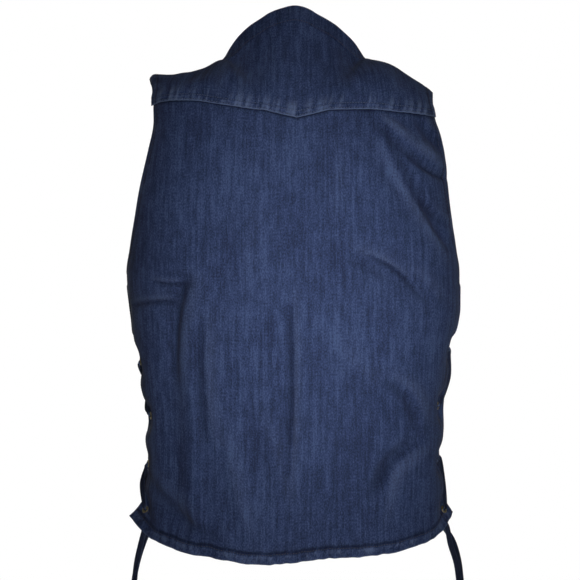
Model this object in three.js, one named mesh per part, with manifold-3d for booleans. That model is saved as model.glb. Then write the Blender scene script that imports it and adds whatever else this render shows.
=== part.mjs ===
// A side-laced denim vest, filled out as if worn, with its neck, armholes and hem open.
// Millimetres, +Z up. +Y is the wearer's front and +X the wearer's right, so the back faces -Y.
// The origin lies between the two places beside the neck where the shoulders carry the vest.
import * as THREE from "three";
import { mergeVertices } from "three/addons/utils/BufferGeometryUtils.js";
import Module from "manifold-3d";

const wasm = await Module();
wasm.setup();

// Cloth sizes
const clothThick = 1.8;
const bandThick = 1.2;
const bandWidth = 22;
const seamGap = 0.3;
const laceEndGap = 0.8;
const centreX = 4;
const squareness = 2.5;

// Neck and shoulders
const neckX = 2;
const neckHalf = 87.5;
const neckTopZ = 60.5;
const archPower = 1.95;
const shoulderSeamY = 22;
const neckReach = 72;
const tipX = { left: -175, right: 170 };

// Columns across the back from edge to edge, closer together towards both edges; one of them ends at the neck
const backColumnCount = 32;
const neckColumn = 7;
const columnShare = (t) => 0.6 * t + 0.4 * Math.sin((t * Math.PI) / 2);
const neckShare = columnShare(neckColumn / (backColumnCount / 2));

// Chest line, where the armholes start and the fronts begin to curve up to the shoulders
const chestZ = -262;
const frontOverlap = 14;
const overlapStep = 1.2;

// Side slits and lacing
const slitTopZ = -340;
const eyeletInset = 13;
const eyeletHole = 2.5;
const eyeletLip = 0.4;
const eyeletBarrel = 3.1;
const eyeletFlange = 4.7;
const flangeThick = 0.6;
const flangeGap = 0.6;
const punchRadius = 3.6;
const punchLength = 12;
const eyeletFacets = 8;
const laceWidth = 7;
const laceThick = 1.5;
const laceBunched = 2.6;
const laceLift = { left: [4.5, 8], right: [9, 8] };
const laceCross = 1.5;
const laceInside = 3.4;

// Closure on the fronts
const snapRadius = 6;
const snapHeight = 2.2;
const snapRim = 1;
const snapBevel = 1.6;
const snapCrown = 0.3;
const snapFacets = 12;
const snapTopZ = -268;
const snapPitch = 92;
const snapCount = 4;

// Sections of the hollow body: half widths on the wearer's left and right, depths behind and in front
const bodySections = [
  { z: -620, left: 181, right: 186, back: 127, front: 120 },
  { z: -560, left: 180, right: 185, back: 127, front: 121 },
  { z: -485, left: 179, right: 182, back: 124, front: 122 },
  { z: -420, left: 182, right: 184, back: 122, front: 124 },
  { z: -350, left: 192, right: 193, back: 124, front: 129 },
  { z: -300, left: 199, right: 203, back: 127, front: 132 },
  { z: -262, left: 203, right: 203, back: 129, front: 132 },
  { z: -231, left: 200, right: 200, back: 129, front: 131 },
  { z: -170, left: 193, right: 193.5, back: 127, front: 126 },
  { z: -111, left: 181, right: 188, back: 122, front: 112 },
  { z: -74, left: 174, right: 177, back: 114, front: 96 },
  { z: -55, left: 174, right: 174, back: 108, front: 86 },
  { z: -20, left: 175, right: 170, back: 93, front: 60 },
];

// How far the panels' side edges stand behind and before the side line: the slit, the side seam, the armhole
const sideEdges = [
  { z: -600, back: 21, front: 18 },
  { z: -547, back: 21, front: 17 },
  { z: -485, back: 18, front: 13 },
  { z: -420, back: 22, front: 13 },
  { z: -385, back: 17, front: 11 },
  { z: -352, back: 8, front: 6 },
  { z: -336, back: 0.15, front: 0.15 },
  { z: -262, back: 0.15, front: 0.15 },
  { z: -253, back: 16, front: 0.15 },
  { z: -231, back: 34, front: 0.15 },
  { z: -170, back: 46, front: 0.15 },
  { z: -111, back: 48, front: 0.15 },
  { z: -74, back: 42, front: 0.15 },
  { z: -55, back: 38, front: 0.15 },
];

// Hem heights across the back, from the left edge at -1 to the right edge at 1
const backHem = [
  { across: -1, z: -564 },
  { across: -0.75, z: -581.5 },
  { across: -0.55, z: -589 },
  { across: -0.21, z: -598 },
  { across: 0.23, z: -590 },
  { across: 0.43, z: -589 },
  { across: 0.6, z: -583.5 },
  { across: 0.79, z: -574.5 },
  { across: 1, z: -558 },
];

// Hem heights across each front, from the side edge at 0 to the overlap at 1
const frontHem = [
  { across: 0, z: -564 },
  { across: 0.3, z: -577 },
  { across: 0.7, z: -584 },
  { across: 1, z: -584 },
];

// Yoke seam heights across the back; the point at the centre is added to them
const yokeSeam = [
  { across: -1, z: -58 },
  { across: -0.86, z: -55 },
  { across: -0.71, z: -56 },
  { across: -0.53, z: -62 },
  { across: -0.28, z: -69 },
  { across: 0, z: -71 },
  { across: 0.32, z: -69 },
  { across: 0.53, z: -67.5 },
  { across: 0.71, z: -70 },
  { across: 1, z: -72 },
];
const yokePoint = { drop: 8, reach: 0.25 };

// Shoulder seam heights from the neck at 0 to the shoulder tip at 1, and the shoulder's rise above them
const crestRise = 12;
const shoulderSeam = [
  { out: 0, left: -11, right: -10.7 },
  { out: 0.28, left: -17, right: -11.3 },
  { out: 0.4, left: -22.5, right: -16 },
  { out: 0.5, left: -26, right: -21.2 },
  { out: 0.63, left: -28.7, right: -28 },
  { out: 0.75, left: -27, right: -33.8 },
  { out: 1, left: -24, right: -46 },
];

// How each front leaves the chest line and reaches the shoulder seam, from the armhole at 0 to the neck at 1.
// The handles are written for the wearer's right and mirrored for the left.
const frontRise = [
  { across: 0, leaveX: -10, leaveY: 60, leaveZ: 4, reachX: -12, reachY: 44, reachZ: -60 },
  { across: 0.12, leaveX: -10, leaveY: 30, leaveZ: 45, reachX: -8, reachY: 46, reachZ: -56 },
  { across: 0.35, leaveX: -4, leaveY: 2, leaveZ: 78, reachX: -2, reachY: 50, reachZ: -50 },
  { across: 0.7, leaveX: 2, leaveY: -2, leaveZ: 78, reachX: -4, reachY: 52, reachZ: -45 },
  { across: 1, leaveX: 22, leaveY: -2, leaveZ: 62, reachX: -12, reachY: 46, reachZ: -40 },
];

// The largest folds: a soft trough (negative) or ridge along a line on a panel, with its half width and depth
const folds = [
  { panel: "back", fromX: 86, fromZ: -82, toX: 128, toZ: -150, width: 20, depth: -5 },
  { panel: "back", fromX: 128, fromZ: -150, toX: 164, toZ: -208, width: 16, depth: -4.5 },
  { panel: "back", fromX: 112, fromZ: -96, toX: 160, toZ: -178, width: 14, depth: 2.5 },
  { panel: "back", fromX: 78, fromZ: -245, toX: 110, toZ: -258, width: 9, depth: -3.5 },
  { panel: "back", fromX: 110, fromZ: -258, toX: 150, toZ: -289, width: 10, depth: -3 },
  { panel: "back", fromX: -3, fromZ: -306, toX: -6, toZ: -425, width: 10, depth: -2.5 },
  { panel: "back", fromX: -165, fromZ: -272, toX: -122, toZ: -270, width: 8, depth: -3 },
  { panel: "back", fromX: -188, fromZ: -295, toX: -152, toZ: -289, width: 9, depth: -3 },
  { panel: "back", fromX: 104, fromZ: -396, toX: 130, toZ: -428, width: 11, depth: -3 },
  { panel: "back", fromX: 134, fromZ: -455, toX: 103, toZ: -490, width: 13, depth: -3 },
  { panel: "back", fromX: -132, fromZ: -552, toX: -106, toZ: -580, width: 13, depth: -3 },
  { panel: "front", fromX: -120, fromZ: -300, toX: -60, toZ: -350, width: 16, depth: -4 },
  { panel: "front", fromX: 150, fromZ: -280, toX: 92, toZ: -312, width: 13, depth: -4 },
  { panel: "front", fromX: -64, fromZ: -430, toX: -50, toZ: -540, width: 15, depth: -3.5 },
  { panel: "front", fromX: 76, fromZ: -400, toX: 68, toZ: -528, width: 14, depth: -3 },
  { panel: "front", fromX: 138, fromZ: -440, toX: 112, toZ: -486, width: 12, depth: -2.5 },
];

// Lacing rows from the top, and how far the lower corners of the panels turn out
const laceRows = { left: [-366, -431, -489, -547], right: [-350, -419, -484, -547] };
const eyeletFlat = 7.6;
const cornerFlare = { left: { back: 23, front: 12 }, right: { back: 17, front: 12 }, lift: 12 };
const cornerFold = { z: -568, up: 50, inward: 42 };
const edgeWave = { eyelet: 4, between: 2.5, rowReach: 12, inward: 20, startAbove: 30, startReach: 24 };

// Route of a free lace end below its lowest eyelet, with how far out it hangs on each side of the vest
const laceEndRoutes = {
  back: [
    { left: 179, right: 186, y: -31, z: -566 },
    { left: 184.5, right: 190.5, y: -27, z: -587 },
    { left: 189.5, right: 197.5, y: -24, z: -609 },
    { left: 192.2, right: 201, y: -22, z: -632 },
    { left: 193.5, right: 202.5, y: -20, z: -656 },
    { left: 192, right: 201, y: -19, z: -690 },
  ],
  front: [
    { left: 175, right: 184, y: 26, z: -567 },
    { left: 183, right: 197, y: 15, z: -588 },
    { left: 189.5, right: 203, y: 4, z: -609 },
    { left: 194, right: 205.5, y: -4, z: -632 },
    { left: 195.5, right: 206.5, y: -8, z: -656 },
    { left: 194.5, right: 205, y: -10, z: -686 },
  ],
};
const laceEndFace = { x: 0.35, y: -1, z: 0 };

const denim = new THREE.MeshStandardMaterial({ color: 0x1f2c52, roughness: 0.92, metalness: 0 });
const darkDenim = new THREE.MeshStandardMaterial({ color: 0x1a2647, roughness: 0.92, metalness: 0 });
const braid = new THREE.MeshStandardMaterial({ color: 0x161c33, roughness: 0.85, metalness: 0 });
const brass = new THREE.MeshStandardMaterial({ color: 0x9a8350, roughness: 0.35, metalness: 1 });

const mix = (a, b, t) => a + (b - a) * t;
const ease = (t) => {
  const held = Math.min(1, Math.max(0, t));
  return held * held * (3 - 2 * held);
};
const bell = (distance, width) => Math.exp(-((distance / width) ** 2));
const point = (x, y, z) => new THREE.Vector3(x, y, z);

// Reads one column of a table as a smooth curve that stays between its rows.
function curveOf(table, along, column) {
  const xs = table.map((row) => row[along]);
  const ys = table.map((row) => row[column]);
  const secants = xs.slice(1).map((x, i) => (ys[i + 1] - ys[i]) / (x - xs[i]));
  const slopes = ys.map((_, i) => {
    const before = secants[i - 1] ?? secants[i];
    const after = secants[i] ?? secants[i - 1];
    return before * after <= 0 ? 0 : (2 * before * after) / (before + after);
  });
  return (x) => {
    const last = xs.length - 1;
    if (x <= xs[0]) return ys[0] + slopes[0] * (x - xs[0]);
    if (x >= xs[last]) return ys[last] + slopes[last] * (x - xs[last]);
    const i = xs.findIndex((value) => value > x) - 1;
    const span = xs[i + 1] - xs[i];
    const t = (x - xs[i]) / span;
    const start = (1 + 2 * t) * (1 - t) ** 2 * ys[i] + t * (1 - t) ** 2 * span * slopes[i];
    return start + t * t * (3 - 2 * t) * ys[i + 1] + t * t * (t - 1) * span * slopes[i + 1];
  };
}

const bodyOf = {
  left: curveOf(bodySections, "z", "left"),
  right: curveOf(bodySections, "z", "right"),
  back: curveOf(bodySections, "z", "back"),
  front: curveOf(bodySections, "z", "front"),
};
const edgeOf = { back: curveOf(sideEdges, "z", "back"), front: curveOf(sideEdges, "z", "front") };
const backHemZ = curveOf(backHem, "across", "z");
const frontHemZ = curveOf(frontHem, "across", "z");
const seamBaseZ = curveOf(yokeSeam, "across", "z");
const shoulderZ = {
  left: curveOf(shoulderSeam, "out", "left"),
  right: curveOf(shoulderSeam, "out", "right"),
};

const riseOf = Object.fromEntries(
  Object.keys(frontRise[0]).map((column) => [column, curveOf(frontRise, "across", column)]),
);

const halfWidth = (side, z) => (side < 0 ? bodyOf.left(z) + centreX : bodyOf.right(z) - centreX);

// The body's surface at an angle round it: 0 at the centre back, 90 degrees on the wearer's right.
function bodyPoint(angle, z, outward = 0) {
  const across = Math.sin(angle);
  const along = -Math.cos(angle);
  const depth = along < 0 ? bodyOf.back(z) : bodyOf.front(z);
  const width = halfWidth(across, z);
  const sum = Math.abs(across / width) ** squareness + Math.abs(along / depth) ** squareness;
  const radius = sum ** (-1 / squareness) + outward;
  return point(centreX + radius * across, radius * along, z);
}

// The angle round the body at which its surface has a given y on one side.
function angleAtY(side, z, y) {
  const depth = y < 0 ? bodyOf.back(z) : bodyOf.front(z);
  const x = halfWidth(side, z) * (1 - Math.abs(y / depth) ** squareness) ** (1 / squareness);
  return side * Math.atan2(x, -y);
}

// The angle of the back's edge on one side at a height.
const backEdgeAngle = (side, z) => Math.abs(angleAtY(side, z, -edgeOf.back(z)));

const pointShare = (share) => Math.max(0, 1 - Math.abs(share) / yokePoint.reach);
const yokeSeamZ = (share) => seamBaseZ(share) - yokePoint.drop * pointShare(share);

// How far a fold pushes the cloth out or in at a place on a panel.
function foldDepth(fold, x, z) {
  const runX = fold.toX - fold.fromX;
  const runZ = fold.toZ - fold.fromZ;
  const along = ((x - fold.fromX) * runX + (z - fold.fromZ) * runZ) / (runX * runX + runZ * runZ);
  const held = Math.min(1, Math.max(0, along));
  const away = Math.hypot(x - fold.fromX - held * runX, z - fold.fromZ - held * runZ);
  return fold.depth * bell(away, fold.width);
}

// The lacing pulls the slit's edge in at each eyelet and lets it stand out between them.
function edgeCurl(side, z, fromEdge) {
  const rows = side < 0 ? laceRows.left : laceRows.right;
  const inSlit = ease((slitTopZ + edgeWave.startAbove - z) / edgeWave.startReach);
  const beyondFlat = (row) => Math.max(0, Math.abs(z - row) - eyeletFlat);
  const pull = rows.reduce((sum, row) => sum + bell(beyondFlat(row), edgeWave.rowReach), 0);
  const wave = edgeWave.between - (edgeWave.between + edgeWave.eyelet) * pull;
  return inSlit * wave * bell(fromEdge, edgeWave.inward);
}

// The lower corner of a panel turns out like a small flap, along a fold across the corner.
function cornerTurn(z, fromEdge) {
  return Math.max(0, 1 - fromEdge / cornerFold.inward - (z - cornerFold.z) / cornerFold.up);
}

// A place on a panel's outer face, with its folds, its laced edge and its turned corner.
function clothPoint(panel, angle, z, outward = 0) {
  const base = bodyPoint(angle, z);
  const side = base.x < centreX ? -1 : 1;
  const fromEdge = Math.abs(base.y) - edgeOf[panel](z);
  const creased = folds.filter((fold) => fold.panel === panel);
  const folded = creased.reduce((sum, fold) => sum + foldDepth(fold, base.x, z), 0);
  const turned = cornerTurn(z, fromEdge);
  const flare = cornerFlare[side < 0 ? "left" : "right"][panel];
  const push = folded + edgeCurl(side, z, fromEdge) + flare * turned;
  const placed = bodyPoint(angle, z, push + outward);
  placed.z += cornerFlare.lift * turned;
  return placed;
}

const sideSeamRows = [-322, -294, -274];

// Heights of a panel's rows at its side edge: the hem, the eyelets, the waves between them, and the seam.
function rowsToChest(sideName, hemZ) {
  const [first, second, third, fourth] = laceRows[sideName];
  const beside = (row) => [row - eyeletFlat, row + eyeletFlat];
  const laced = [fourth, third, second, first].flatMap((row, i, all) => {
    const next = all[i + 1];
    return next === undefined ? beside(row) : [...beside(row), mix(row, next, 0.5)];
  });
  return [hemZ, ...laced, ...sideSeamRows, chestZ];
}
const armholeRows = [-256, -246, -231, -204, -170, -140, -111, -85];
const backRows = {
  left: [...rowsToChest("left", backHemZ(-1)), ...armholeRows, yokeSeamZ(-1)],
  right: [...rowsToChest("right", backHemZ(1)), ...armholeRows, yokeSeamZ(1)],
};

// The height at a row number that may lie between two rows.
function heightAtRow(heights, row) {
  const i = Math.min(heights.length - 2, Math.max(0, Math.floor(row)));
  return mix(heights[i], heights[i + 1], row - i);
}

// The back panel: across runs from edge to edge, row by row from the hem to the yoke seam.
function backPanelAt(across, row) {
  const side = across < 0 ? -1 : 1;
  const leftZ = heightAtRow(backRows.left, row);
  const rightZ = heightAtRow(backRows.right, row);
  const edgeZ = side < 0 ? leftZ : rightZ;
  const levelZ = mix(leftZ, rightZ, (across + 1) / 2);
  const hemLevel = mix(backHemZ(-1), backHemZ(1), (across + 1) / 2);
  const seamLevel = mix(yokeSeamZ(-1), yokeSeamZ(1), (across + 1) / 2);
  const up = (levelZ - hemLevel) / (seamLevel - hemLevel);
  const bend = mix(backHemZ(across) - hemLevel, yokeSeamZ(across) - seamGap - seamLevel, up);
  return clothPoint("back", across * backEdgeAngle(side, edgeZ), levelZ + bend);
}

// The top edge of the yoke: along one shoulder seam, round the back of the neck, along the other shoulder.
function yokeTop(across) {
  const side = across < 0 ? "left" : "right";
  const sign = across < 0 ? -1 : 1;
  const crestZ = shoulderZ[side](0) + crestRise;
  if (Math.abs(across) <= neckShare) {
    const turn = ((across / neckShare) * Math.PI) / 2;
    const rise = 1 - Math.abs(Math.sin(turn)) ** archPower;
    const y = shoulderSeamY - neckReach * Math.cos(turn);
    const beyondCrest = Math.max(0, y / shoulderSeamY);
    const z = mix(crestZ, neckTopZ, rise) - crestRise * beyondCrest ** 2;
    return point(neckX + neckHalf * Math.sin(turn), y, z);
  }
  const out = (Math.abs(across) - neckShare) / (1 - neckShare);
  return point(mix(neckX + sign * neckHalf, tipX[side], out), shoulderSeamY, shoulderZ[side](out));
}

const handlePoint = (from, direction, length) => from.clone().addScaledVector(direction, length);
const neckLean = point(0, 0.2, 0.98);

// The yoke's curve handles as shares of its height, and where round the neck it starts to bend forward
const yokeHandles = { seam: 0.4, neck: 0.3, shoulder: 0.36 };
const bendStart = 0.6;

// The way from the shoulder seam down a front, from the shoulder tip at 0 to the neck edge at 1.
function shoulderReach(side, across) {
  return point(side * riseOf.reachX(across), riseOf.reachY(across), riseOf.reachZ(across));
}

// The yoke: up runs from the seam to the top edge, along the back and then over the shoulder or up the neck.
function yokeAt(across, up) {
  const top = yokeTop(across);
  const side = across < 0 ? -1 : 1;
  const seamZ = yokeSeamZ(across) + seamGap;
  const angle = across * backEdgeAngle(side, yokeSeamZ(side));
  const seam = clothPoint("back", angle, seamZ);
  const rise = clothPoint("back", angle, seamZ + 4).sub(seam).normalize();
  const overShoulder = Math.min(1, Math.max(0, (Math.abs(across) / neckShare - bendStart) / (1 - bendStart)));
  const frontShare = Math.min(1, (1 - Math.abs(across)) / (1 - neckShare));
  const lean = neckLean.clone().lerp(shoulderReach(side, frontShare).normalize(), overShoulder).normalize();
  const length = top.distanceTo(seam);
  const first = handlePoint(seam, rise, length * yokeHandles.seam);
  const second = handlePoint(top, lean, -length * mix(yokeHandles.neck, yokeHandles.shoulder, overShoulder));
  return new THREE.CubicBezierCurve3(seam, first, second, top).getPoint(up);
}

const frontRows = {
  left: rowsToChest("left", frontHemZ(0)),
  right: rowsToChest("right", frontHemZ(0)),
};
const frontRiseRows = 9;

// Where the fronts overlap, the left one lies outside the right one.
function layerOf(side, angle) {
  const fromCentre = Math.abs(Math.abs(angle) - Math.PI) * bodyOf.front(chestZ);
  return -side * overlapStep * ease(1 - (fromCentre - frontOverlap) / (2 * frontOverlap));
}

// A front: across runs from the side edge to the overlap, row by row from the hem to the shoulder seam.
function frontPanelAt(side, across, row) {
  const heights = side < 0 ? frontRows.left : frontRows.right;
  const chestRow = heights.length - 1;
  const inner = Math.PI + frontOverlap / bodyOf.front(chestZ);
  const angleAt = (edgeZ) => mix(Math.abs(angleAtY(side, edgeZ, edgeOf.front(edgeZ))), inner, across) * side;
  if (row <= chestRow) {
    const edgeZ = heightAtRow(heights, row);
    const up = (edgeZ - heights[0]) / (chestZ - heights[0]);
    const angle = angleAt(edgeZ);
    const z = edgeZ + (frontHemZ(across) - heights[0]) * (1 - up);
    return clothPoint("front", angle, z, layerOf(side, angle));
  }
  const angle = angleAt(chestZ);
  const chest = clothPoint("front", angle, chestZ, layerOf(side, angle));
  const top = yokeTop(side * mix(1, neckShare, across));
  top.addScaledVector(shoulderReach(side, across).normalize(), seamGap * 2);
  const leave = point(side * riseOf.leaveX(across), riseOf.leaveY(across), riseOf.leaveZ(across));
  const reach = shoulderReach(side, across).add(top);
  const curve = new THREE.CubicBezierCurve3(chest, leave.add(chest), reach, top);
  return curve.getPoint((row - chestRow) / frontRiseRows);
}

// The outward normal of a surface, from places a little to each side; `facing` is 1 or -1.
function normalOf(surface, across, up, facing) {
  const step = 1e-3;
  const alongAcross = surface(across + step, up).sub(surface(across - step, up));
  const alongUp = surface(across, up + step).sub(surface(across, up - step));
  return alongAcross.cross(alongUp).normalize().multiplyScalar(facing);
}

// Turns rows of outer and inner points into one closed wall.
function wall(outer, inner, facing) {
  const rows = outer.length;
  const columns = outer[0].length;
  const positions = [...outer.flat(), ...inner.flat()].flatMap((p) => [p.x, p.y, p.z]);
  const outerAt = (j, i) => j * columns + i;
  const innerAt = (j, i) => rows * columns + j * columns + i;
  const faces = [];
  const lastRow = rows - 1;
  const lastColumn = columns - 1;
  const quad = (a, b, c, d) => faces.push(...(facing > 0 ? [a, b, c, a, c, d] : [a, c, b, a, d, c]));
  for (let j = 0; j < lastRow; j++) {
    for (let i = 0; i < lastColumn; i++) {
      quad(outerAt(j, i), outerAt(j, i + 1), outerAt(j + 1, i + 1), outerAt(j + 1, i));
      quad(innerAt(j, i), innerAt(j + 1, i), innerAt(j + 1, i + 1), innerAt(j, i + 1));
    }
    quad(outerAt(j, 0), outerAt(j + 1, 0), innerAt(j + 1, 0), innerAt(j, 0));
    const above = j + 1;
    quad(outerAt(above, lastColumn), outerAt(j, lastColumn), innerAt(j, lastColumn), innerAt(above, lastColumn));
  }
  for (let i = 0; i < lastColumn; i++) {
    quad(outerAt(0, i + 1), outerAt(0, i), innerAt(0, i), innerAt(0, i + 1));
    quad(outerAt(lastRow, i), outerAt(lastRow, i + 1), innerAt(lastRow, i + 1), innerAt(lastRow, i));
  }
  const geometry = new THREE.BufferGeometry();
  geometry.setAttribute("position", new THREE.Float32BufferAttribute(positions, 3));
  geometry.setIndex(faces);
  return geometry;
}

// A wall of cloth on a surface: `lift` moves its inner face off the surface, for what lies on a panel.
function clothWall(surface, acrossList, upList, facing, thick = clothThick, lift = -clothThick) {
  const placeAt = (across, up, offset) =>
    surface(across, up).addScaledVector(normalOf(surface, across, up, facing), offset);
  const rowsAt = (offset) => upList.map((up) => acrossList.map((across) => placeAt(across, up, offset)));
  return wall(rowsAt(lift + thick), rowsAt(lift), facing);
}

const spread = (from, to, count) => Array.from({ length: count + 1 }, (_, i) => mix(from, to, i / count));

const backColumns = spread(-1, 1, backColumnCount).map(columnShare);

const backRowList = backRows.left.map((_, row) => row);
const frontRowCount = frontRows.left.length - 1 + frontRiseRows;
const frontRowList = spread(0, frontRowCount, frontRowCount);
// The fronts' columns meet the yoke's along the shoulder, with one more between each two near the closure.
const shoulderColumns = backColumns.filter((share) => share > neckShare - 1e-6).reverse();
const frontColumns = shoulderColumns
  .map((share) => (1 - share) / (1 - neckShare))
  .flatMap((share, i, all) => (i > 5 ? [mix(all[i - 1], share, 0.5), share] : [share]));

// Closed meshes as solids for cutting, and back again.
function solidOf(geometry) {
  const bare = new THREE.BufferGeometry();
  bare.setAttribute("position", geometry.getAttribute("position"));
  bare.setIndex(geometry.index);
  const merged = mergeVertices(bare, 1e-4);
  const vertProperties = merged.attributes.position.array;
  const triVerts = new Uint32Array(merged.index.array);
  return new wasm.Manifold(new wasm.Mesh({ numProp: 3, vertProperties, triVerts }));
}
function geometryOf(solid) {
  const mesh = solid.getMesh();
  const geometry = new THREE.BufferGeometry();
  geometry.setAttribute("position", new THREE.Float32BufferAttribute(mesh.vertProperties, 3));
  geometry.setIndex(new THREE.BufferAttribute(mesh.triVerts, 1));
  return geometry;
}

// The outward normal of the cloth over the small piece of it that a fitting covers.
function normalAt(onCloth, turn, rise) {
  const alongTurn = onCloth(turn, 0).sub(onCloth(-turn, 0));
  const alongRise = onCloth(0, rise).sub(onCloth(0, -rise));
  return alongTurn.cross(alongRise).normalize();
}
const eyeletSpan = { turn: 0.03, rise: 6 };
const snapSpan = { turn: 0.04, rise: 5 };

// Eyelets: place, outward normal and name for each row on both edges of one slit.
function eyeletPlaces(sideName) {
  const side = sideName === "left" ? -1 : 1;
  return ["back", "front"].flatMap((panel) =>
    laceRows[sideName].map((row, i) => {
      const facing = panel === "back" ? -1 : 1;
      const angleOf = (z) => angleAtY(side, z, facing * (edgeOf[panel](z) + eyeletInset));
      const onCloth = (turn, rise) => clothPoint(panel, angleOf(row) + turn, row + rise);
      const normal = normalAt(onCloth, eyeletSpan.turn, eyeletSpan.rise);
      const name = `eyelet_${sideName}_${panel}_${i + 1}`;
      return { name, sideName, panel, row: i, centre: onCloth(0, 0), normal };
    }),
  );
}
const eyelets = { left: eyeletPlaces("left"), right: eyeletPlaces("right") };
const allEyelets = [...eyelets.left, ...eyelets.right];

// Turns a geometry whose axis is +Y to stand along an eyelet's or snap's normal at its place.
function stand(geometry, place, offset = 0) {
  const turn = new THREE.Quaternion().setFromUnitVectors(point(0, 1, 0), place.normal);
  const moved = place.centre.clone().addScaledVector(place.normal, offset);
  return geometry.applyMatrix4(new THREE.Matrix4().compose(moved, turn, point(1, 1, 1)));
}

const turned = (profile, facets) =>
  new THREE.LatheGeometry(profile.map(([radius, height]) => new THREE.Vector2(radius, height)), facets);

// An eyelet: a barrel through the cloth with a rolled flange outside and a washer inside.
function eyeletGeometry() {
  const outside = flangeGap + flangeThick;
  const inside = -clothThick - flangeGap - flangeThick;
  const profile = [
    [eyeletHole, inside],
    [eyeletFlange, inside],
    [eyeletFlange, inside + flangeThick],
    [eyeletBarrel, inside + flangeThick],
    [eyeletBarrel, outside - flangeThick],
    [eyeletFlange, outside - flangeThick],
    [eyeletHole + eyeletLip, outside],
    [eyeletHole, inside],
  ];
  return turned(profile, eyeletFacets);
}

function punched(geometry, panel, sideNames) {
  const holes = allEyelets.filter((eyelet) => eyelet.panel === panel && sideNames.includes(eyelet.sideName));
  const cut = holes.reduce((solid, eyelet) => {
    const punch = new THREE.CylinderGeometry(punchRadius, punchRadius, punchLength, eyeletFacets);
    return solid.subtract(solidOf(stand(punch, eyelet)));
  }, solidOf(geometry));
  return geometryOf(cut);
}

// A lace's section, in shares of half its width and half its thickness
const laceSection = [
  { across: -1, over: 0 },
  { across: -0.75, over: -1 },
  { across: 0.75, over: -1 },
  { across: 1, over: 0 },
  { across: 0.75, over: 1 },
  { across: -0.75, over: 1 },
];
const laceSteps = 2;

// A flat lace through a list of keys, each with a place, the direction its flat side faces, and its width.
function laceAlong(keys) {
  const path = new THREE.CatmullRomCurve3(keys.map((key) => key.place), false, "centripetal");
  const steps = (keys.length - 1) * laceSteps;
  const rings = spread(0, 1, steps).map((t) => {
    const along = t * (keys.length - 1);
    const i = Math.min(keys.length - 2, Math.floor(along));
    const share = along - i;
    const tangent = path.getTangent(t);
    const face = keys[i].face.clone().lerp(keys[i + 1].face, share);
    face.addScaledVector(tangent, -face.dot(tangent)).normalize();
    const sideways = tangent.clone().cross(face);
    const width = mix(keys[i].width, keys[i + 1].width, ease(share));
    const centre = path.getPoint(t);
    return laceSection.map(({ across, over }) => {
      const edge = handlePoint(centre, sideways, (across * width) / 2);
      return edge.addScaledVector(face, (over * laceThick) / 2);
    });
  });
  const sides = rings[0].length;
  const positions = rings.flat().flatMap((p) => [p.x, p.y, p.z]);
  const faces = [];
  for (let j = 0; j < rings.length - 1; j++) {
    for (let i = 0; i < sides; i++) {
      const next = (i + 1) % sides;
      const [a, b, c, d] = [j * sides + i, j * sides + next, (j + 1) * sides + next, (j + 1) * sides + i];
      faces.push(a, c, b, a, d, c);
    }
  }
  const lastRing = (rings.length - 1) * sides;
  for (let i = 1; i < sides - 1; i++) {
    faces.push(0, i, i + 1, lastRing, lastRing + i + 1, lastRing + i);
  }
  const geometry = new THREE.BufferGeometry();
  geometry.setAttribute("position", new THREE.Float32BufferAttribute(positions, 3));
  geometry.setIndex(faces);
  return geometry;
}

// A lace's heights over the cloth's face in an eyelet's hole and beside it, how far beside, and how much of
// its width it has back there. Below `straight` the way on is no turn at all.
const laceBend = {
  outside: { hole: 1.6, beside: 3.6 },
  inside: { hole: -clothThick - 1.6, beside: -clothThick - 3 },
  away: 5.5,
  spread: 0.6,
  straight: 0.2,
};

// The keys where a lace goes through one eyelet, outwards or inwards, from one neighbour and on to another.
function throughEyelet(eyelet, from, to, outwards) {
  const { normal, centre } = eyelet;
  const flat = (direction) => direction.addScaledVector(normal, -direction.dot(normal)).normalize();
  const arriving = flat(centre.clone().sub(from));
  const leaving = flat(to.clone().sub(centre));
  const at = (height, along, direction) => handlePoint(handlePoint(centre, normal, height), direction, along);
  const holeFace = arriving.clone().add(leaving).multiplyScalar(outwards ? -1 : 1);
  if (holeFace.length() < laceBend.straight) holeFace.copy(arriving);
  const [before, after] = outwards ? ["inside", "outside"] : ["outside", "inside"];
  const beside = (where, along, direction) => ({
    place: at(laceBend[where].beside, along, direction),
    face: normal.clone(),
    width: mix(laceBunched, laceWidth, laceBend.spread),
  });
  const inHole = (where) => ({
    place: at(laceBend[where].hole, 0, normal),
    face: holeFace,
    width: laceBunched,
  });
  return [
    beside(before, -laceBend.away, arriving),
    inHole(before),
    inHole(after),
    beside(after, laceBend.away, leaving),
  ];
}

// The order in which a lace visits the eyelets of one slit, from the lowest at the back round to the front
const laceOrder = [
  ["back", 3],
  ["front", 2],
  ["front", 1],
  ["back", 0],
  ["front", 0],
  ["back", 1],
  ["back", 2],
  ["front", 3],
];

// Midway between two eyelets the lace stands out over the slit, or lies inside the cloth.
function betweenKey(first, second, outside, crossing) {
  const face = first.normal.clone().add(second.normal).normalize();
  const crossLift = laceLift[first.sideName][Math.min(first.row, second.row) === 0 ? 0 : 1];
  const lift = outside ? crossLift + crossing : -clothThick - laceInside;
  const place = first.centre.clone().add(second.centre).multiplyScalar(0.5).addScaledVector(face, lift);
  return { place, face, width: laceWidth };
}

const hangingWay = point(0, 0, -60);

function laceKeys(sideName) {
  const eyeletAt = (panel, row) => eyelets[sideName].find((e) => e.panel === panel && e.row === row);
  const stops = laceOrder.map(([panel, row]) => eyeletAt(panel, row));
  const hang = (stop) => stop.centre.clone().add(hangingWay);
  return stops.flatMap((stop, i) => {
    const before = i === 0 ? hang(stop) : stops[i - 1].centre;
    const after = i === stops.length - 1 ? hang(stop) : stops[i + 1].centre;
    const keys = throughEyelet(stop, before, after, i % 2 === 0);
    if (i === stops.length - 1) return keys;
    const outside = i % 2 === 0;
    const crossing = i < stops.length / 2 - 1 ? laceCross : -laceCross;
    return [...keys, betweenKey(stop, stops[i + 1], outside, crossing)];
  });
}

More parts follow.
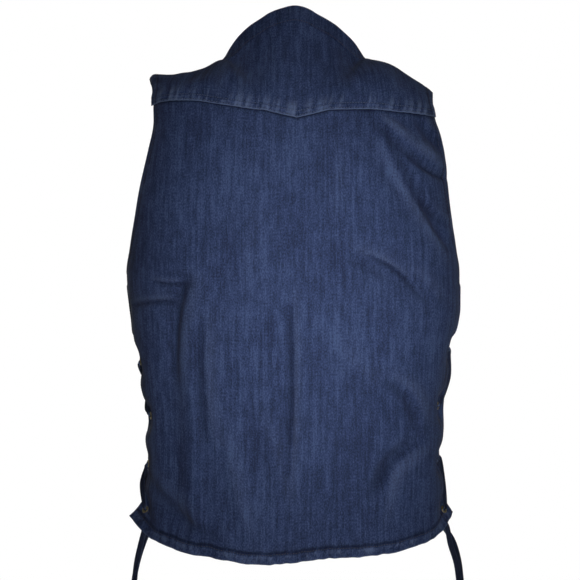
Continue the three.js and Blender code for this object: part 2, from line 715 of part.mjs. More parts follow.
const vest = new THREE.Group();
function addPiece(name, geometry, material) {
  const mesh = new THREE.Mesh(geometry, material);
  mesh.name = name;
  vest.add(mesh);
  return mesh;
}

// Back panel
const backWall = clothWall(backPanelAt, backColumns, backRowList, 1);
addPiece("back_panel", punched(backWall, "back", ["left", "right"]), denim);

// Yoke and the band along the neck edge, which lies on the yoke's last rows
const bandRow = 6;
const yokeRows = bandRow + 2;
const yokeRowAt = (across, row) => {
  const height = yokeAt(across, 1).distanceTo(yokeAt(across, 0));
  const bandStart = 1 - bandWidth / height;
  return yokeAt(across, row < bandRow ? (bandStart * row) / bandRow : mix(bandStart, 1, (row - bandRow) / 2));
};
addPiece("back_yoke", clothWall(yokeRowAt, backColumns, spread(0, yokeRows, yokeRows), 1), denim);
const bandColumns = backColumns.filter((share) => Math.abs(share) < neckShare - 1e-6);
const bandRows = spread(bandRow, yokeRows, 2);
addPiece("neck_band", clothWall(yokeRowAt, bandColumns, bandRows, 1, bandThick, seamGap), darkDenim);

// Fronts
for (const [sideName, side] of [["left", -1], ["right", 1]]) {
  const surface = (across, up) => frontPanelAt(side, across, up);
  const geometry = clothWall(surface, frontColumns, frontRowList, side);
  addPiece(`front_${sideName}`, punched(geometry, "front", [sideName]), denim);
}

// Eyelets and laces
for (const eyelet of allEyelets) {
  addPiece(eyelet.name, stand(eyeletGeometry(), eyelet), brass);
}
for (const sideName of ["left", "right"]) {
  addPiece(`lace_${sideName}`, laceAlong(laceKeys(sideName)), braid);
}

// Free lace ends, each starting where its lace leaves the inside of a lowest eyelet
for (const [sideName, side] of [["left", -1], ["right", 1]]) {
  const keys = laceKeys(sideName);
  for (const [panel, last, before] of [["back", keys[0], keys[1]], ["front", keys.at(-1), keys.at(-2)]]) {
    const away = last.place.clone().sub(before.place).normalize();
    const start = { ...last, place: handlePoint(last.place, away, laceEndGap), face: last.face.clone() };
    const face = point(side * laceEndFace.x, laceEndFace.y, laceEndFace.z).normalize();
    const rest = laceEndRoutes[panel].map((row) => {
      return { place: point(side * row[sideName], row.y, row.z), face, width: laceWidth };
    });
    addPiece(`lace_end_${sideName}_${panel}`, laceAlong([start, ...rest]), braid);
  }
}

// Snaps down the overlap of the fronts
function snapGeometry() {
  const profile = [
    [0, flangeGap],
    [snapRadius, flangeGap],
    [snapRadius, flangeGap + snapRim],
    [snapRadius - snapBevel, flangeGap + snapHeight],
    [0, flangeGap + snapHeight + snapCrown],
  ];
  return turned(profile, snapFacets);
}
for (let i = 0; i < snapCount; i++) {
  const z = snapTopZ - i * snapPitch;
  const onCloth = (turn, rise) => clothPoint("front", -Math.PI + turn, z + rise, layerOf(-1, -Math.PI));
  const normal = normalAt(onCloth, snapSpan.turn, snapSpan.rise);
  addPiece(`snap_${i + 1}`, stand(snapGeometry(), { centre: onCloth(0, 0), normal }), brass);
}

export default vest;
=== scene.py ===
# %% [markdown]
# A denim vest, laced down both sides, as it hangs when worn, with nobody in it.
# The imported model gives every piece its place. This lesson builds the finer pieces around it: cloth with
# folds, hems and stitching, brass eyelets with laces through them, and snaps down the front.

import math

import bpy
import numpy as np
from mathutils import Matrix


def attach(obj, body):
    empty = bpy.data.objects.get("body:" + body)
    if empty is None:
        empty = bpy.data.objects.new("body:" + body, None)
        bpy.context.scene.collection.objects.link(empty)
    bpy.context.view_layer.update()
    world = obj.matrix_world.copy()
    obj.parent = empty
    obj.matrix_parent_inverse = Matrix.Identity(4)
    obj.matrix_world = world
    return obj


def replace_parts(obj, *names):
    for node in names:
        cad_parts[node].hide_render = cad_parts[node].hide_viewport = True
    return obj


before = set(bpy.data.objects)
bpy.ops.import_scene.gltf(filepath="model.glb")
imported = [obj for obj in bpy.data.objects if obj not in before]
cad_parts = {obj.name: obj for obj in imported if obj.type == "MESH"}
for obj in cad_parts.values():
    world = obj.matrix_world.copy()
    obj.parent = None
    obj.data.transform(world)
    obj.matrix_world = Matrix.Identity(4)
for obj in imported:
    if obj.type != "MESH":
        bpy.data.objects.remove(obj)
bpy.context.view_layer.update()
bpy.ops.object.select_all(action="DESELECT")

# %% [markdown]
# The vest is seen from straight behind, from far enough away that its sides hardly taper. The photo's frame
# is 0.71 m wide at the vest, so the lens follows from that width and the distance.

# %% Camera
MM = 0.001
VIEW_WIDTH = 710.5 * MM
VIEW_DISTANCE = 2300 * MM
VIEW_CENTRE = (-3.7 * MM, 0.0, -279.3 * MM)
SENSOR = 36.0
bpy.ops.object.camera_add(
    location=(VIEW_CENTRE[0], -VIEW_DISTANCE, VIEW_CENTRE[2]), rotation=(math.radians(90), 0, 0))
camera = bpy.context.object
camera.data.sensor_width = SENSOR
camera.data.lens = SENSOR * VIEW_DISTANCE / VIEW_WIDTH
camera.data.clip_end = 20
bpy.context.scene.camera = camera
print("lens", round(camera.data.lens, 1), "mm")

# %% [markdown]
# A cutter thinks of a garment as rings round the body: how wide and how deep it is at each height, and where
# each panel's edge runs. Those sizes are short tables in millimetres, each column read as a smooth curve that
# never swings past its rows.

# %% Reading a table's column as a curve
def table(names, rows):
    return dict(zip(names.split(), np.array(rows, dtype=float).T))


def mix(a, b, share):
    return a + (b - a) * share


def ease(share):
    held = np.clip(share, 0, 1)
    return held * held * (3 - 2 * held)


def bell(distance, width):
    return np.exp(-((distance / width) ** 2))


def curve_of(rows, along, column):
    xs, ys = rows[along], rows[column]
    secants = np.diff(ys) / np.diff(xs)
    before = np.concatenate([secants[:1], secants])
    after = np.concatenate([secants, secants[-1:]])
    same_way = before * after > 0
    slopes = np.where(same_way, 2 * before * after / np.where(same_way, before + after, 1), 0)

    def value(x):
        x = np.asarray(x, dtype=float)
        i = np.clip(np.searchsorted(xs, x, side="right") - 1, 0, len(xs) - 2)
        span = xs[i + 1] - xs[i]
        t = np.clip((x - xs[i]) / span, 0, 1)
        rest = 1 - t
        inside = (1 + 2 * t) * rest**2 * ys[i] + t * rest**2 * span * slopes[i]
        inside = inside + t * t * (3 - 2 * t) * ys[i + 1] - t * t * rest * span * slopes[i + 1]
        below = ys[0] + slopes[0] * (x - xs[0])
        above = ys[-1] + slopes[-1] * (x - xs[-1])
        return np.where(x < xs[0], below, np.where(x > xs[-1], above, inside))

    return value


# %% The body inside the vest, and the panels' edges
CENTRE_X = 4.0
SQUARENESS = 2.5
body = table("z left right back front", [
    (-620, 181, 186, 127, 120),
    (-560, 180, 185, 127, 121),
    (-485, 179, 182, 124, 122),
    (-420, 182, 184, 122, 124),
    (-350, 192, 193, 124, 129),
    (-300, 199, 203, 127, 132),
    (-262, 203, 203, 129, 132),
    (-231, 200, 200, 129, 131),
    (-170, 193, 193.5, 127, 126),
    (-111, 181, 188, 122, 112),
    (-74, 174, 177, 114, 96),
    (-55, 174, 174, 108, 86),
    (-20, 175, 170, 93, 60),
])
body_left, body_right, body_back, body_front = [
    curve_of(body, "z", column) for column in ("left", "right", "back", "front")]
side_edges = table("z back front", [
    (-600, 21, 18),
    (-547, 21, 17),
    (-485, 18, 13),
    (-420, 22, 13),
    (-385, 17, 11),
    (-352, 8, 6),
    (-336, 0.15, 0.15),
    (-262, 0.15, 0.15),
    (-253, 16, 0.15),
    (-231, 34, 0.15),
    (-170, 46, 0.15),
    (-111, 48, 0.15),
    (-74, 42, 0.15),
    (-55, 38, 0.15),
])
edge_of = {panel: curve_of(side_edges, "z", panel) for panel in ("back", "front")}
back_hem = table("across z", [
    (-1, -564),
    (-0.75, -581.5),
    (-0.55, -589),
    (-0.21, -598),
    (0.23, -590),
    (0.43, -589),
    (0.6, -583.5),
    (0.79, -574.5),
    (1, -558),
])
front_hem = table("across z", [(0, -564), (0.3, -577), (0.7, -584), (1, -584)])
back_hem_z = curve_of(back_hem, "across", "z")
front_hem_z = curve_of(front_hem, "across", "z")


def half_width(side, z):
    return np.where(side < 0, body_left(z) + CENTRE_X, body_right(z) - CENTRE_X)


def body_point(angle, z, outward=0.0):
    """A place on the body: angle 0 is the centre back, a quarter turn the wearer's right."""
    across, along = np.sin(angle), -np.cos(angle)
    depth = np.where(along < 0, body_back(z), body_front(z))
    width = half_width(across, z)
    total = np.abs(across / width) ** SQUARENESS + np.abs(along / depth) ** SQUARENESS
    radius = total ** (-1 / SQUARENESS) + outward
    return np.stack(np.broadcast_arrays(CENTRE_X + radius * across, radius * along, z), axis=-1)


def angle_at_y(side, z, y):
    depth = np.where(y < 0, body_back(z), body_front(z))
    x = half_width(side, z) * (1 - np.abs(y / depth) ** SQUARENESS) ** (1 / SQUARENESS)
    return side * np.arctan2(x, -y)


# %% [markdown]
# Worn denim folds where the body bends it: a long trough under the right shoulder, short creases beside the
# armholes and soft ones at the waist. Each is a line on a panel with its own width and depth. The lacing
# pulls the slit's edges in at each eyelet, and the lower corners turn out like small flaps.

# %% Folds, laced edges and turned corners
folds = table("front from_x from_z to_x to_z width depth", [
    (0, 86, -82, 128, -150, 20, -7),
    (0, 128, -150, 164, -208, 16, -6),
    (0, 112, -96, 160, -178, 14, 4),
    (0, 78, -245, 110, -258, 9, -3.5),
    (0, 110, -258, 150, -289, 10, -3),
    (0, -3, -306, -6, -425, 10, -2.5),
    (0, -165, -272, -122, -270, 8, -3),
    (0, -188, -295, -152, -289, 9, -3),
    (0, 104, -396, 130, -428, 11, -3),
    (0, 134, -455, 103, -490, 13, -3),
    (0, -132, -552, -106, -580, 13, -3),
    (0, -112, -270, -112, -600, 14, 3),
    (0, -148, -300, -142, -560, 16, -5.5),
    (1, -120, -300, -60, -350, 16, -4),
    (1, 150, -280, 92, -312, 13, -4),
    (1, -64, -430, -50, -540, 15, -3.5),
    (1, 76, -400, 68, -528, 14, -3),
    (1, 138, -440, 112, -486, 12, -2.5),
])
LACE_ROWS = {"left": (-366, -431, -489, -547), "right": (-350, -419, -484, -547)}
SLIT_TOP_Z = -340
EYELET_FLAT = 7.6
EYELET_INSET = 13.0
lacing_pull = table("left right row at_edge at_eyelet", [
    (1, 0, 0, 4, 4),
    (1, 0, 1, 5.5, 7),
    (1, 0, 2, 2.4, 2.6),
    (1, 0, 3, 4, 4),
    (0, 1, 0, 5, 5),
    (0, 1, 1, 0.5, 7),
    (0, 1, 2, 4, 8),
    (0, 1, 3, 4, 4),
])
FRONT_PULL = 2.0
WAVE_OUT, WAVE_ROW, WAVE_INWARD = 0.8, 12.0, 17.0
WAVE_START, WAVE_EASE = 30.0, 24.0
FLARE = {("back", -1): 23, ("front", -1): 12, ("back", 1): 17, ("front", 1): 12}
FLARE_LIFT, FLARE_Z, FLARE_UP, FLARE_INWARD = 12.0, -568.0, 44.0, 42.0


def fold_depths(panel, x, z):
    total = np.zeros(np.broadcast(x, z).shape)
    for k in np.flatnonzero(folds["front"] == (panel == "front")):
        fold = {column: folds[column][k] for column in folds}
        run_x, run_z = fold["to_x"] - fold["from_x"], fold["to_z"] - fold["from_z"]
        along = ((x - fold["from_x"]) * run_x + (z - fold["from_z"]) * run_z) / (run_x**2 + run_z**2)
        held = np.clip(along, 0, 1)
        away = np.hypot(x - fold["from_x"] - held * run_x, z - fold["from_z"] - held * run_z)
        total = total + fold["depth"] * bell(away, fold["width"])
    return total


def lace_wave(panel, side_name, z, from_edge):
    """The lace pulls the cloth in at each eyelet, while the free edge beyond it may stand out."""
    beyond = np.maximum(0, from_edge - EYELET_INSET)
    wave = WAVE_OUT * bell(beyond, WAVE_INWARD)
    for k in np.flatnonzero(lacing_pull[side_name]):
        row = LACE_ROWS[side_name][int(lacing_pull["row"][k])]
        near = bell(np.maximum(0, np.abs(z - row) - EYELET_FLAT), WAVE_ROW)
        at_edge, at_eyelet = lacing_pull["at_edge"][k], lacing_pull["at_eyelet"][k]
        if panel == "front":
            at_edge = at_eyelet = FRONT_PULL
        depth = mix(at_edge, at_eyelet, ease(from_edge / EYELET_INSET))
        wave = wave - near * (depth + WAVE_OUT) * bell(beyond, WAVE_INWARD)
    return ease((SLIT_TOP_Z + WAVE_START - z) / WAVE_EASE) * wave


def cloth_point(panel, angle, z, outward=0.0):
    """A place on a panel's outer face, with its folds, its laced edge and its turned corner."""
    base = body_point(angle, z)
    on_left = base[..., 0] < CENTRE_X
    from_edge = np.abs(base[..., 1]) - edge_of[panel](z)
    left_wave = lace_wave(panel, "left", z, from_edge)
    wave = np.where(on_left, left_wave, lace_wave(panel, "right", z, from_edge))
    turned = np.maximum(0, 1 - from_edge / FLARE_INWARD - (z - FLARE_Z) / FLARE_UP)
    flare = np.where(on_left, FLARE[panel, -1], FLARE[panel, 1])
    push = fold_depths(panel, base[..., 0], z) + wave + flare * turned
    placed = body_point(angle, z, push + outward)
    placed[..., 2] += FLARE_LIFT * turned
    return placed


# %% [markdown]
# Seen close, denim is never quite smooth, and a seam draws it into small puckers. Both come from the same
# trick: a row of fixed random heights with a smooth curve between them, the same on every run.

# %% Smooth random heights
NOISE_SIZE = 512
random_heights = np.random.default_rng(7).uniform(-1, 1, (NOISE_SIZE, NOISE_SIZE))


def uneven(x, y=0.0, seed=0):
    x, y = np.broadcast_arrays(np.asarray(x, dtype=float), np.asarray(y, dtype=float))
    i, j = np.floor(x).astype(int), np.floor(y).astype(int)
    u, v = ease(x - i), ease(y - j)
    i, j = i + seed * 37, j + seed * 91

    def height(a, b):
        return random_heights[(i + a) % NOISE_SIZE, (j + b) % NOISE_SIZE]

    return mix(mix(height(0, 0), height(1, 0), u), mix(height(0, 1), height(1, 1), u), v)


# %% [markdown]
# Every panel is modelled the same way: a grid as fine as its creases need, its points laid on the panel's
# form, then pushed along the cloth's own normal by the small things sewn into it. Distances from each edge,
# measured along the cloth, say where hems, stitches and puckers go, and become the panel's UV map in metres.

# %% Grid, distances and small reliefs of a panel
CLOTH_THICK = 1.5
SEAM_TUCK = 7.0
SEAM_RISE, SEAM_FLAT, SEAM_FALL = 1.75, 8.5, 5
HEM_WIDE, HEM_RISE, HEM_STITCH = 13.0, 0.8, 11.2
HEM_SLANT, HEM_RIDGE, HEM_UNEVEN = 0.9, 2.6, 0.7
RIM_PALE, FOLD_SHADE = 0.45, 0.55
HEM_PALE, HEM_SHADE = 1.1, 0.36
GROOVE_DEEP, GROOVE_WIDE, GROOVE_SHADE = 0.3, 0.9, 0.6
CREASE = "from_x from_z to_x to_z width depth bow"
panels = {}


def lay_panel(name, surface, across_list, up_list, facing, grain_at=0.0):
    """Places, normals and distances on a grid. The grain runs along the column at grain_at."""
    across, up = np.meshgrid(across_list, up_list)
    places = surface(across, up)
    along = np.gradient(places, axis=1)
    rising = np.gradient(places, axis=0)
    normals = np.cross(along, rising) * facing
    normals /= np.linalg.norm(normals, axis=-1, keepdims=True)
    steps = np.linalg.norm(np.diff(places, axis=1), axis=-1)
    from_first = np.concatenate([np.zeros((len(up_list), 1)), np.cumsum(steps, axis=1)], axis=1)
    steps = np.linalg.norm(np.diff(places, axis=0), axis=-1)
    from_bottom = np.concatenate([np.zeros((1, len(across_list))), np.cumsum(steps, axis=0)], axis=0)
    straight = int(np.argmin(np.abs(np.array(across_list) - grain_at)))
    panels[name] = {
        "places": places, "normals": normals, "facing": facing,
        "from_grain": from_first - from_first[:, straight:straight + 1],
        "across": across, "up": up,
        "from_first": from_first, "from_last": from_first[:, -1:] - from_first,
        "from_bottom": from_bottom, "from_top": from_bottom[-1:] - from_bottom,
    }
    panels[name].update(new_layer(panels[name]))
    return panels[name]


def doubled_edge(panel, distance, width, rise):
    """A folded edge is twice as thick, and its rim is the first to fade pale; just past its inner edge a line
    of painted shade darkens the cloth.
    """
    panel["relief"] += rise * (1 - ease((distance - width + 1) / 2))
    panel["wear_and_shading"] += RIM_PALE * bell(distance, 1.2) - FOLD_SHADE * bell(distance - width - 0.9, 1.3)


def rolled_hem(panel, distance, run, seed):
    """The hem's roll pulls aslant between its folds, in short pale ridges, with a line of painted shade above
    its stitches.
    """
    slanted = run + HEM_SLANT * distance
    wave = uneven(slanted / HEM_RIDGE + uneven(run / 23, 0, seed), distance / 9, seed + 1)
    on_roll = bell(distance - 0.5 * HEM_WIDE, 0.34 * HEM_WIDE)
    panel["relief"] += 0.5 * wave * on_roll
    panel["wear_and_shading"] += HEM_PALE * np.maximum(0, wave - 0.1) * on_roll
    panel["wear_and_shading"] -= HEM_SHADE * bell(distance - HEM_WIDE - 0.6, 1.7)


def stitch_groove(panel, distance, run, line, pitch=7.5, pucker=0.35, reach=5.0, seed=0, pale=0.5):
    """A row of stitches sinks into the cloth and draws it into puckers on both sides."""
    away = distance - line
    wave = uneven(run / pitch + uneven(run / 31, 0, seed) * 0.8, 0, seed + 1)
    beside = bell(np.abs(away) - 1.5, reach)
    groove = bell(away, GROOVE_WIDE)
    panel["relief"] += pucker * wave * beside - GROOVE_DEEP * groove
    # The puckers' crests fade pale, and painted shade darkens the groove.
    panel["wear_and_shading"] += pale * np.maximum(0, wave) * beside - GROOVE_SHADE * groove


CREASE_FADE, CREASE_SHADE, CREASE_SOFT = 0.3, 0.08, 6.0
CREASE_HOLD, CREASE_AT_EDGE = 20.0, 0.25
RIDGE_SHARE, RIDGE_AWAY, RIDGE_WIDE, RIDGE_REACH = 0.45, 1.8, 1.4, 9


def crease(panel, from_x, from_z, to_x, to_z, width, depth, bow=0.0):
    """A bowed crease, seen from behind: a trough with a lower ridge beside it, fading at both ends."""
    x, z = panel["places"][..., 0], panel["places"][..., 2]
    run_x, run_z = to_x - from_x, to_z - from_z
    length = math.hypot(run_x, run_z)
    along = ((x - from_x) * run_x + (z - from_z) * run_z) / length**2
    held = np.clip(along, 0, 1)
    aside = ((z - from_z) * run_x - (x - from_x) * run_z) / length - bow * 4 * held * (1 - held)
    away = np.hypot(aside, (along - held) * length)
    fade = ease((along + CREASE_FADE) / (2 * CREASE_FADE))
    fade = fade * ease((1 + CREASE_FADE - along) / (2 * CREASE_FADE))
    ridge = RIDGE_SHARE * bell(aside - RIDGE_AWAY * width, RIDGE_WIDE * width)
    shape = depth * fade * (bell(away, width) - ridge * (away < RIDGE_REACH * width))
    from_side = np.minimum(panel["from_first"], panel["from_last"])
    shape = shape * mix(CREASE_AT_EDGE, 1, ease(from_side / CREASE_HOLD))
    panel["relief"] += shape
    # Painted shade darkens the trough, and painted light pales the ridge beside it.
    panel["wear_and_shading"] += CREASE_SHADE * shape * CREASE_SOFT / width


def creases_on(panel, rows):
    for i in range(len(rows["from_x"])):
        crease(panel, *(float(rows[column][i]) for column in rows))


def new_layer(panel):
    return {key: np.zeros(panel["across"].shape) for key in ("relief", "wear_and_shading")}


def add_layer(panel, layer, share):
    """Adds a layer's relief, and its fading and painted shade, where share is above nothing."""
    for key in layer:
        panel[key] += layer[key] * share


def sewn_edge(panel, share, distance, run, width, rise, line, **groove):
    """A doubled edge and its row of stitches, laid where share is above nothing."""
    layer = new_layer(panel)
    doubled_edge(layer, distance, width, rise)
    stitch_groove(layer, distance, run, line, **groove)
    add_layer(panel, layer, share)


# Each wave's height, its length across and up the cloth, and its step in the random heights
UNEVEN_WAVES = ((0.55, 42, 58, 0), (0.22, 17, 24, 3))


def soft_unevenness(panel, seed):
    run, rise = panel["from_grain"], panel["from_bottom"]
    panel["relief"] += sum(
        height * uneven(run / long, rise / high, seed + step) for height, long, high, step in UNEVEN_WAVES)


def finished_places(panel):
    return panel["places"] + panel["normals"] * panel["relief"][..., None]


# %% [markdown]
# The vest's cloth is dark indigo denim: blue warp over pale weft in a fine diagonal twill, with uneven slub
# yarns that show as lighter and darker streaks down the cloth. Where it is folded or chafed, the indigo goes
# first. The material reads the panel's UV map, so the weave keeps its real size, and a value from the panel's
# reliefs: above nothing it pales the indigo, where the cloth is really faded and as painted light on crease
# ridges; below nothing it is painted shade in creases and stitch grooves, beside folded edges and under the
# yoke. The wrong side shows more of the pale weft.

# %% Helpers for node materials
def new_material(name, roughness, metallic=0.0):
    material = bpy.data.materials.new(name)
    material.use_nodes = True
    shader = material.node_tree.nodes["Principled BSDF"]
    shader.inputs["Roughness"].default_value = roughness
    shader.inputs["Metallic"].default_value = metallic
    return material, material.node_tree, shader


def add_node(tree, kind, settings=None, **inputs):
    """Adds a node. A plain input is a value, a socket is linked, and n0 is the first input by number."""
    node = tree.nodes.new(kind)
    for key, value in (settings or {}).items():
        setattr(node, key, value)
    for key, value in inputs.items():
        numbered = key[0] == "n" and key[1:].isdigit()
        socket = node.inputs[int(key[1:]) if numbered else key.replace("_", " ")]
        if isinstance(value, bpy.types.NodeSocket):
            tree.links.new(value, socket)
        else:
            socket.default_value = value
    return node


def maths(tree, operation, first, second=0.0):
    return add_node(tree, "ShaderNodeMath", {"operation": operation}, n0=first, n1=second).outputs[0]


def weighted_sum(tree, terms):
    """Adds up sockets, each times its share."""
    total = None
    for socket, share in terms:
        part = socket if share == 1 else maths(tree, "MULTIPLY", socket, share)
        total = part if total is None else maths(tree, "ADD", total, part)
    return total


def speckle(tree, place, scale, detail):
    return add_node(tree, "ShaderNodeTexNoise", Vector=place, Scale=scale, Detail=detail).outputs["Fac"]


def add_bump(tree, shader, height, strength, distance):
    bump = add_node(tree, "ShaderNodeBump", Strength=strength, Distance=distance, Height=height)
    tree.links.new(bump.outputs[0], shader.inputs["Normal"])


def streaks(tree, coordinates, scale, detail, roughness):
    """Noise stretched along the yarns: scale is (across, along) in cells a metre."""
    mapping = add_node(tree, "ShaderNodeMapping", Vector=coordinates, Scale=(scale[0], scale[1], 1))
    grain = add_node(tree, "ShaderNodeTexNoise", {"noise_dimensions": "2D"},
                     Vector=mapping.outputs[0], Scale=1.0, Detail=detail, Roughness=roughness)
    return grain.outputs["Fac"]


def ramp(tree, factor, stops):
    node = add_node(tree, "ShaderNodeValToRGB", Fac=factor)
    elements = node.color_ramp.elements
    while len(elements) < len(stops):
        elements.new(0.5)
    for element, (place, colour) in zip(elements, stops):
        element.position = place
        element.color = (*colour, 1)
    return node.outputs["Color"]


def mix_colour(tree, factor, first, second):
    node = add_node(tree, "ShaderNodeMix", {"data_type": "RGBA"})
    for index, value in ((0, factor), (6, first), (7, second)):
        if isinstance(value, bpy.types.NodeSocket):
            tree.links.new(value, node.inputs[index])
        else:
            node.inputs[index].default_value = value
    return node.outputs[2]


# %% Denim
TWILL_PITCH, TWILL_TURN = 0.0011, 63
# A wave texture at scale 1 has about 3.2 bands a metre.
BANDS_A_METRE = 3.2
TONE_STOPS = (0.53, 0.64, 0.77)
WORN_AND_LIT_LEAST, WORN_AND_LIT_MOST = 0.35, 0.8
SUNK_SHADE, SUNK_MOST = 0.45, 0.9
SEED_SHIFT = (3.1, 1.7)
# For each yarn pattern: its cells a metre, detail and roughness, and its share of the tone
YARNS = {
    "slub": (((150, 8), 3.0, 0.55), 0.22),
    "warp": (((360, 22), 2.0, 0.55), 0.24),
    "fleck": (((640, 430), 2.0, 0.6), 0.5),
    "cloud": (((15, 10), 3.0, 0.55), 0.15),
    "mottle": (((105, 62), 2.0, 0.55), 0.18),
}


def denim(name, darkest, middle, lightest, weft, weft_share, seed):
    material, tree, shader = new_material(name, 0.86)
    uv = add_node(tree, "ShaderNodeUVMap", {"uv_map": "cloth"}).outputs[0]
    shift = (seed * SEED_SHIFT[0], seed * SEED_SHIFT[1], 0)
    shifted = add_node(tree, "ShaderNodeMapping", Vector=uv, Location=shift).outputs[0]
    yarns = {yarn: streaks(tree, shifted, *pattern) for yarn, (pattern, _) in YARNS.items()}
    fleck = yarns["fleck"]
    wear_and_shading = add_node(tree, "ShaderNodeAttribute", {"attribute_name": "wear_and_shading"}).outputs["Fac"]
    tone = weighted_sum(tree, [(yarns[yarn], share) for yarn, (_, share) in YARNS.items()])
    colour = ramp(tree, tone, list(zip(TONE_STOPS, (darkest, middle, lightest))))
    diagonal = add_node(tree, "ShaderNodeMapping", Vector=shifted, Rotation=(0, 0, math.radians(TWILL_TURN)))
    twill = add_node(tree, "ShaderNodeTexWave", {"wave_type": "BANDS", "bands_direction": "X"},
                     Vector=diagonal.outputs[0], Scale=1 / TWILL_PITCH / BANDS_A_METRE, Distortion=1.2,
                     Detail=1.0).outputs["Fac"]
    pale = maths(tree, "MULTIPLY", twill, fleck)
    pale = maths(tree, "MULTIPLY", pale, weft_share)
    colour = mix_colour(tree, pale, colour, (*weft, 1))
    # Above nothing the value pales the indigo: real fading on rims, hem ridges and puckers, and painted light
    # on crease ridges.
    rubbed_and_lit = maths(tree, "MAXIMUM", wear_and_shading, 0.0)
    worn_and_lit = maths(tree, "MULTIPLY", rubbed_and_lit, maths(tree, "ADD", fleck, WORN_AND_LIT_LEAST))
    colour = mix_colour(tree, maths(tree, "MINIMUM", worn_and_lit, WORN_AND_LIT_MOST), colour, (*weft, 1))
    # Below nothing the value is painted shade, in creases, stitch grooves, beside folded edges and under the
    # yoke.
    painted_shade = maths(tree, "MAXIMUM", maths(tree, "MULTIPLY", wear_and_shading, -1.0), 0.0)
    shade = tuple(SUNK_SHADE * value for value in darkest)
    colour = mix_colour(tree, maths(tree, "MINIMUM", painted_shade, SUNK_MOST), colour, (*shade, 1))
    tree.links.new(colour, shader.inputs["Base Color"])
    height = weighted_sum(tree, [(twill, 0.5), (yarns["warp"], 1), (fleck, 0.6)])
    add_bump(tree, shader, height, 0.45, 0.0004)
    tree.links.new(maths(tree, "ADD", maths(tree, "MULTIPLY", fleck, 0.14), 0.78), shader.inputs["Roughness"])
    shader.inputs["Specular IOR Level"].default_value = 0.08
    shader.inputs["Sheen Weight"].default_value = 0.02
    shader.inputs["Sheen Roughness"].default_value = 0.5
    return material


INDIGO = ((0.0125, 0.0185, 0.049), (0.0225, 0.035, 0.089), (0.043, 0.066, 0.146))
WORN_BLUE = (0.10, 0.135, 0.235)
denim_face = denim("denim_face", *INDIGO, WORN_BLUE, 0.12, 1)
denim_wrong_side = denim(
    "denim_wrong_side", (0.07, 0.09, 0.14), (0.13, 0.16, 0.22), (0.24, 0.28, 0.34), (0.45, 0.47, 0.5), 0.5, 2)
denim_dark_face = denim("denim_band", (0.010, 0.015, 0.039), (0.018, 0.028, 0.071), (0.034, 0.052, 0.117),
                        WORN_BLUE, 0.12, 3)
print("denim at", round(TWILL_PITCH * 1000, 1), "mm twill")

# %% [markdown]
# A grid primitive becomes a panel: its points take the panel's places, its UV map takes the distances, and a
# Solidify modifier gives the cloth its thickness inwards, with the wrong side's material on the inner face.

# %% From a laid panel to a piece of cloth
RIM_ANGLE, RIM_SHARE = 60, 0.4


def apply_place():
    bpy.ops.object.transform_apply(location=True, rotation=True, scale=True)


def finish_with(piece, kind, **settings):
    """Adds a modifier with its settings and applies it."""
    modifier = piece.modifiers.new(kind.lower(), kind)
    for key, value in settings.items():
        setattr(modifier, key, value)
    bpy.ops.object.modifier_apply(modifier=modifier.name)


def grid_piece(name, places, run, rise):
    """A grid through the places, with a UV map of the two distances, all in millimetres."""
    rows, columns = places.shape[:2]
    bpy.ops.mesh.primitive_grid_add(x_subdivisions=columns - 1, y_subdivisions=rows - 1, size=1)
    piece = bpy.context.object
    mesh = piece.data
    piece.name = mesh.name = name
    mesh.vertices.foreach_set("co", (places * MM).astype(np.float32).ravel())
    corners = np.empty(len(mesh.loops), dtype=np.int32)
    mesh.loops.foreach_get("vertex_index", corners)
    uv = np.stack([run, rise], axis=-1).reshape(-1, 2) * MM
    mesh.uv_layers[0].name = "cloth"
    mesh.uv_layers[0].data.foreach_set("uv", uv[corners].astype(np.float32).ravel())
    return piece, mesh


def cloth_piece(panel, name, holes=(), thick=CLOTH_THICK, face=denim_face, inside=denim_wrong_side):
    piece, mesh = grid_piece(name, finished_places(panel), panel["from_grain"], panel["from_bottom"])
    wear_and_shading = mesh.attributes.new("wear_and_shading", "FLOAT", "POINT")
    wear_and_shading.data.foreach_set("value", panel["wear_and_shading"].astype(np.float32).ravel())
    mesh.materials.append(face)
    mesh.materials.append(inside)
    if panel["facing"] < 0:
        bpy.ops.object.mode_set(mode="EDIT")
        bpy.ops.mesh.select_all(action="SELECT")
        bpy.ops.mesh.flip_normals()
        bpy.ops.object.mode_set(mode="OBJECT")
    punch_holes(piece, holes)
    finish_with(piece, "SOLIDIFY", thickness=thick * MM, offset=-1, material_offset=1)
    finish_with(piece, "BEVEL", limit_method="ANGLE", angle_limit=math.radians(RIM_ANGLE),
                width=RIM_SHARE * thick * MM, segments=2)
    bpy.ops.object.shade_smooth()
    bpy.ops.object.select_all(action="DESELECT")
    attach(piece, "root")
    print(name, len(mesh.polygons), "faces")
    return piece


HOLE_RADIUS = 3.4
HOLE_CLEAR = 3.0
HOLE_REACH = 6.5


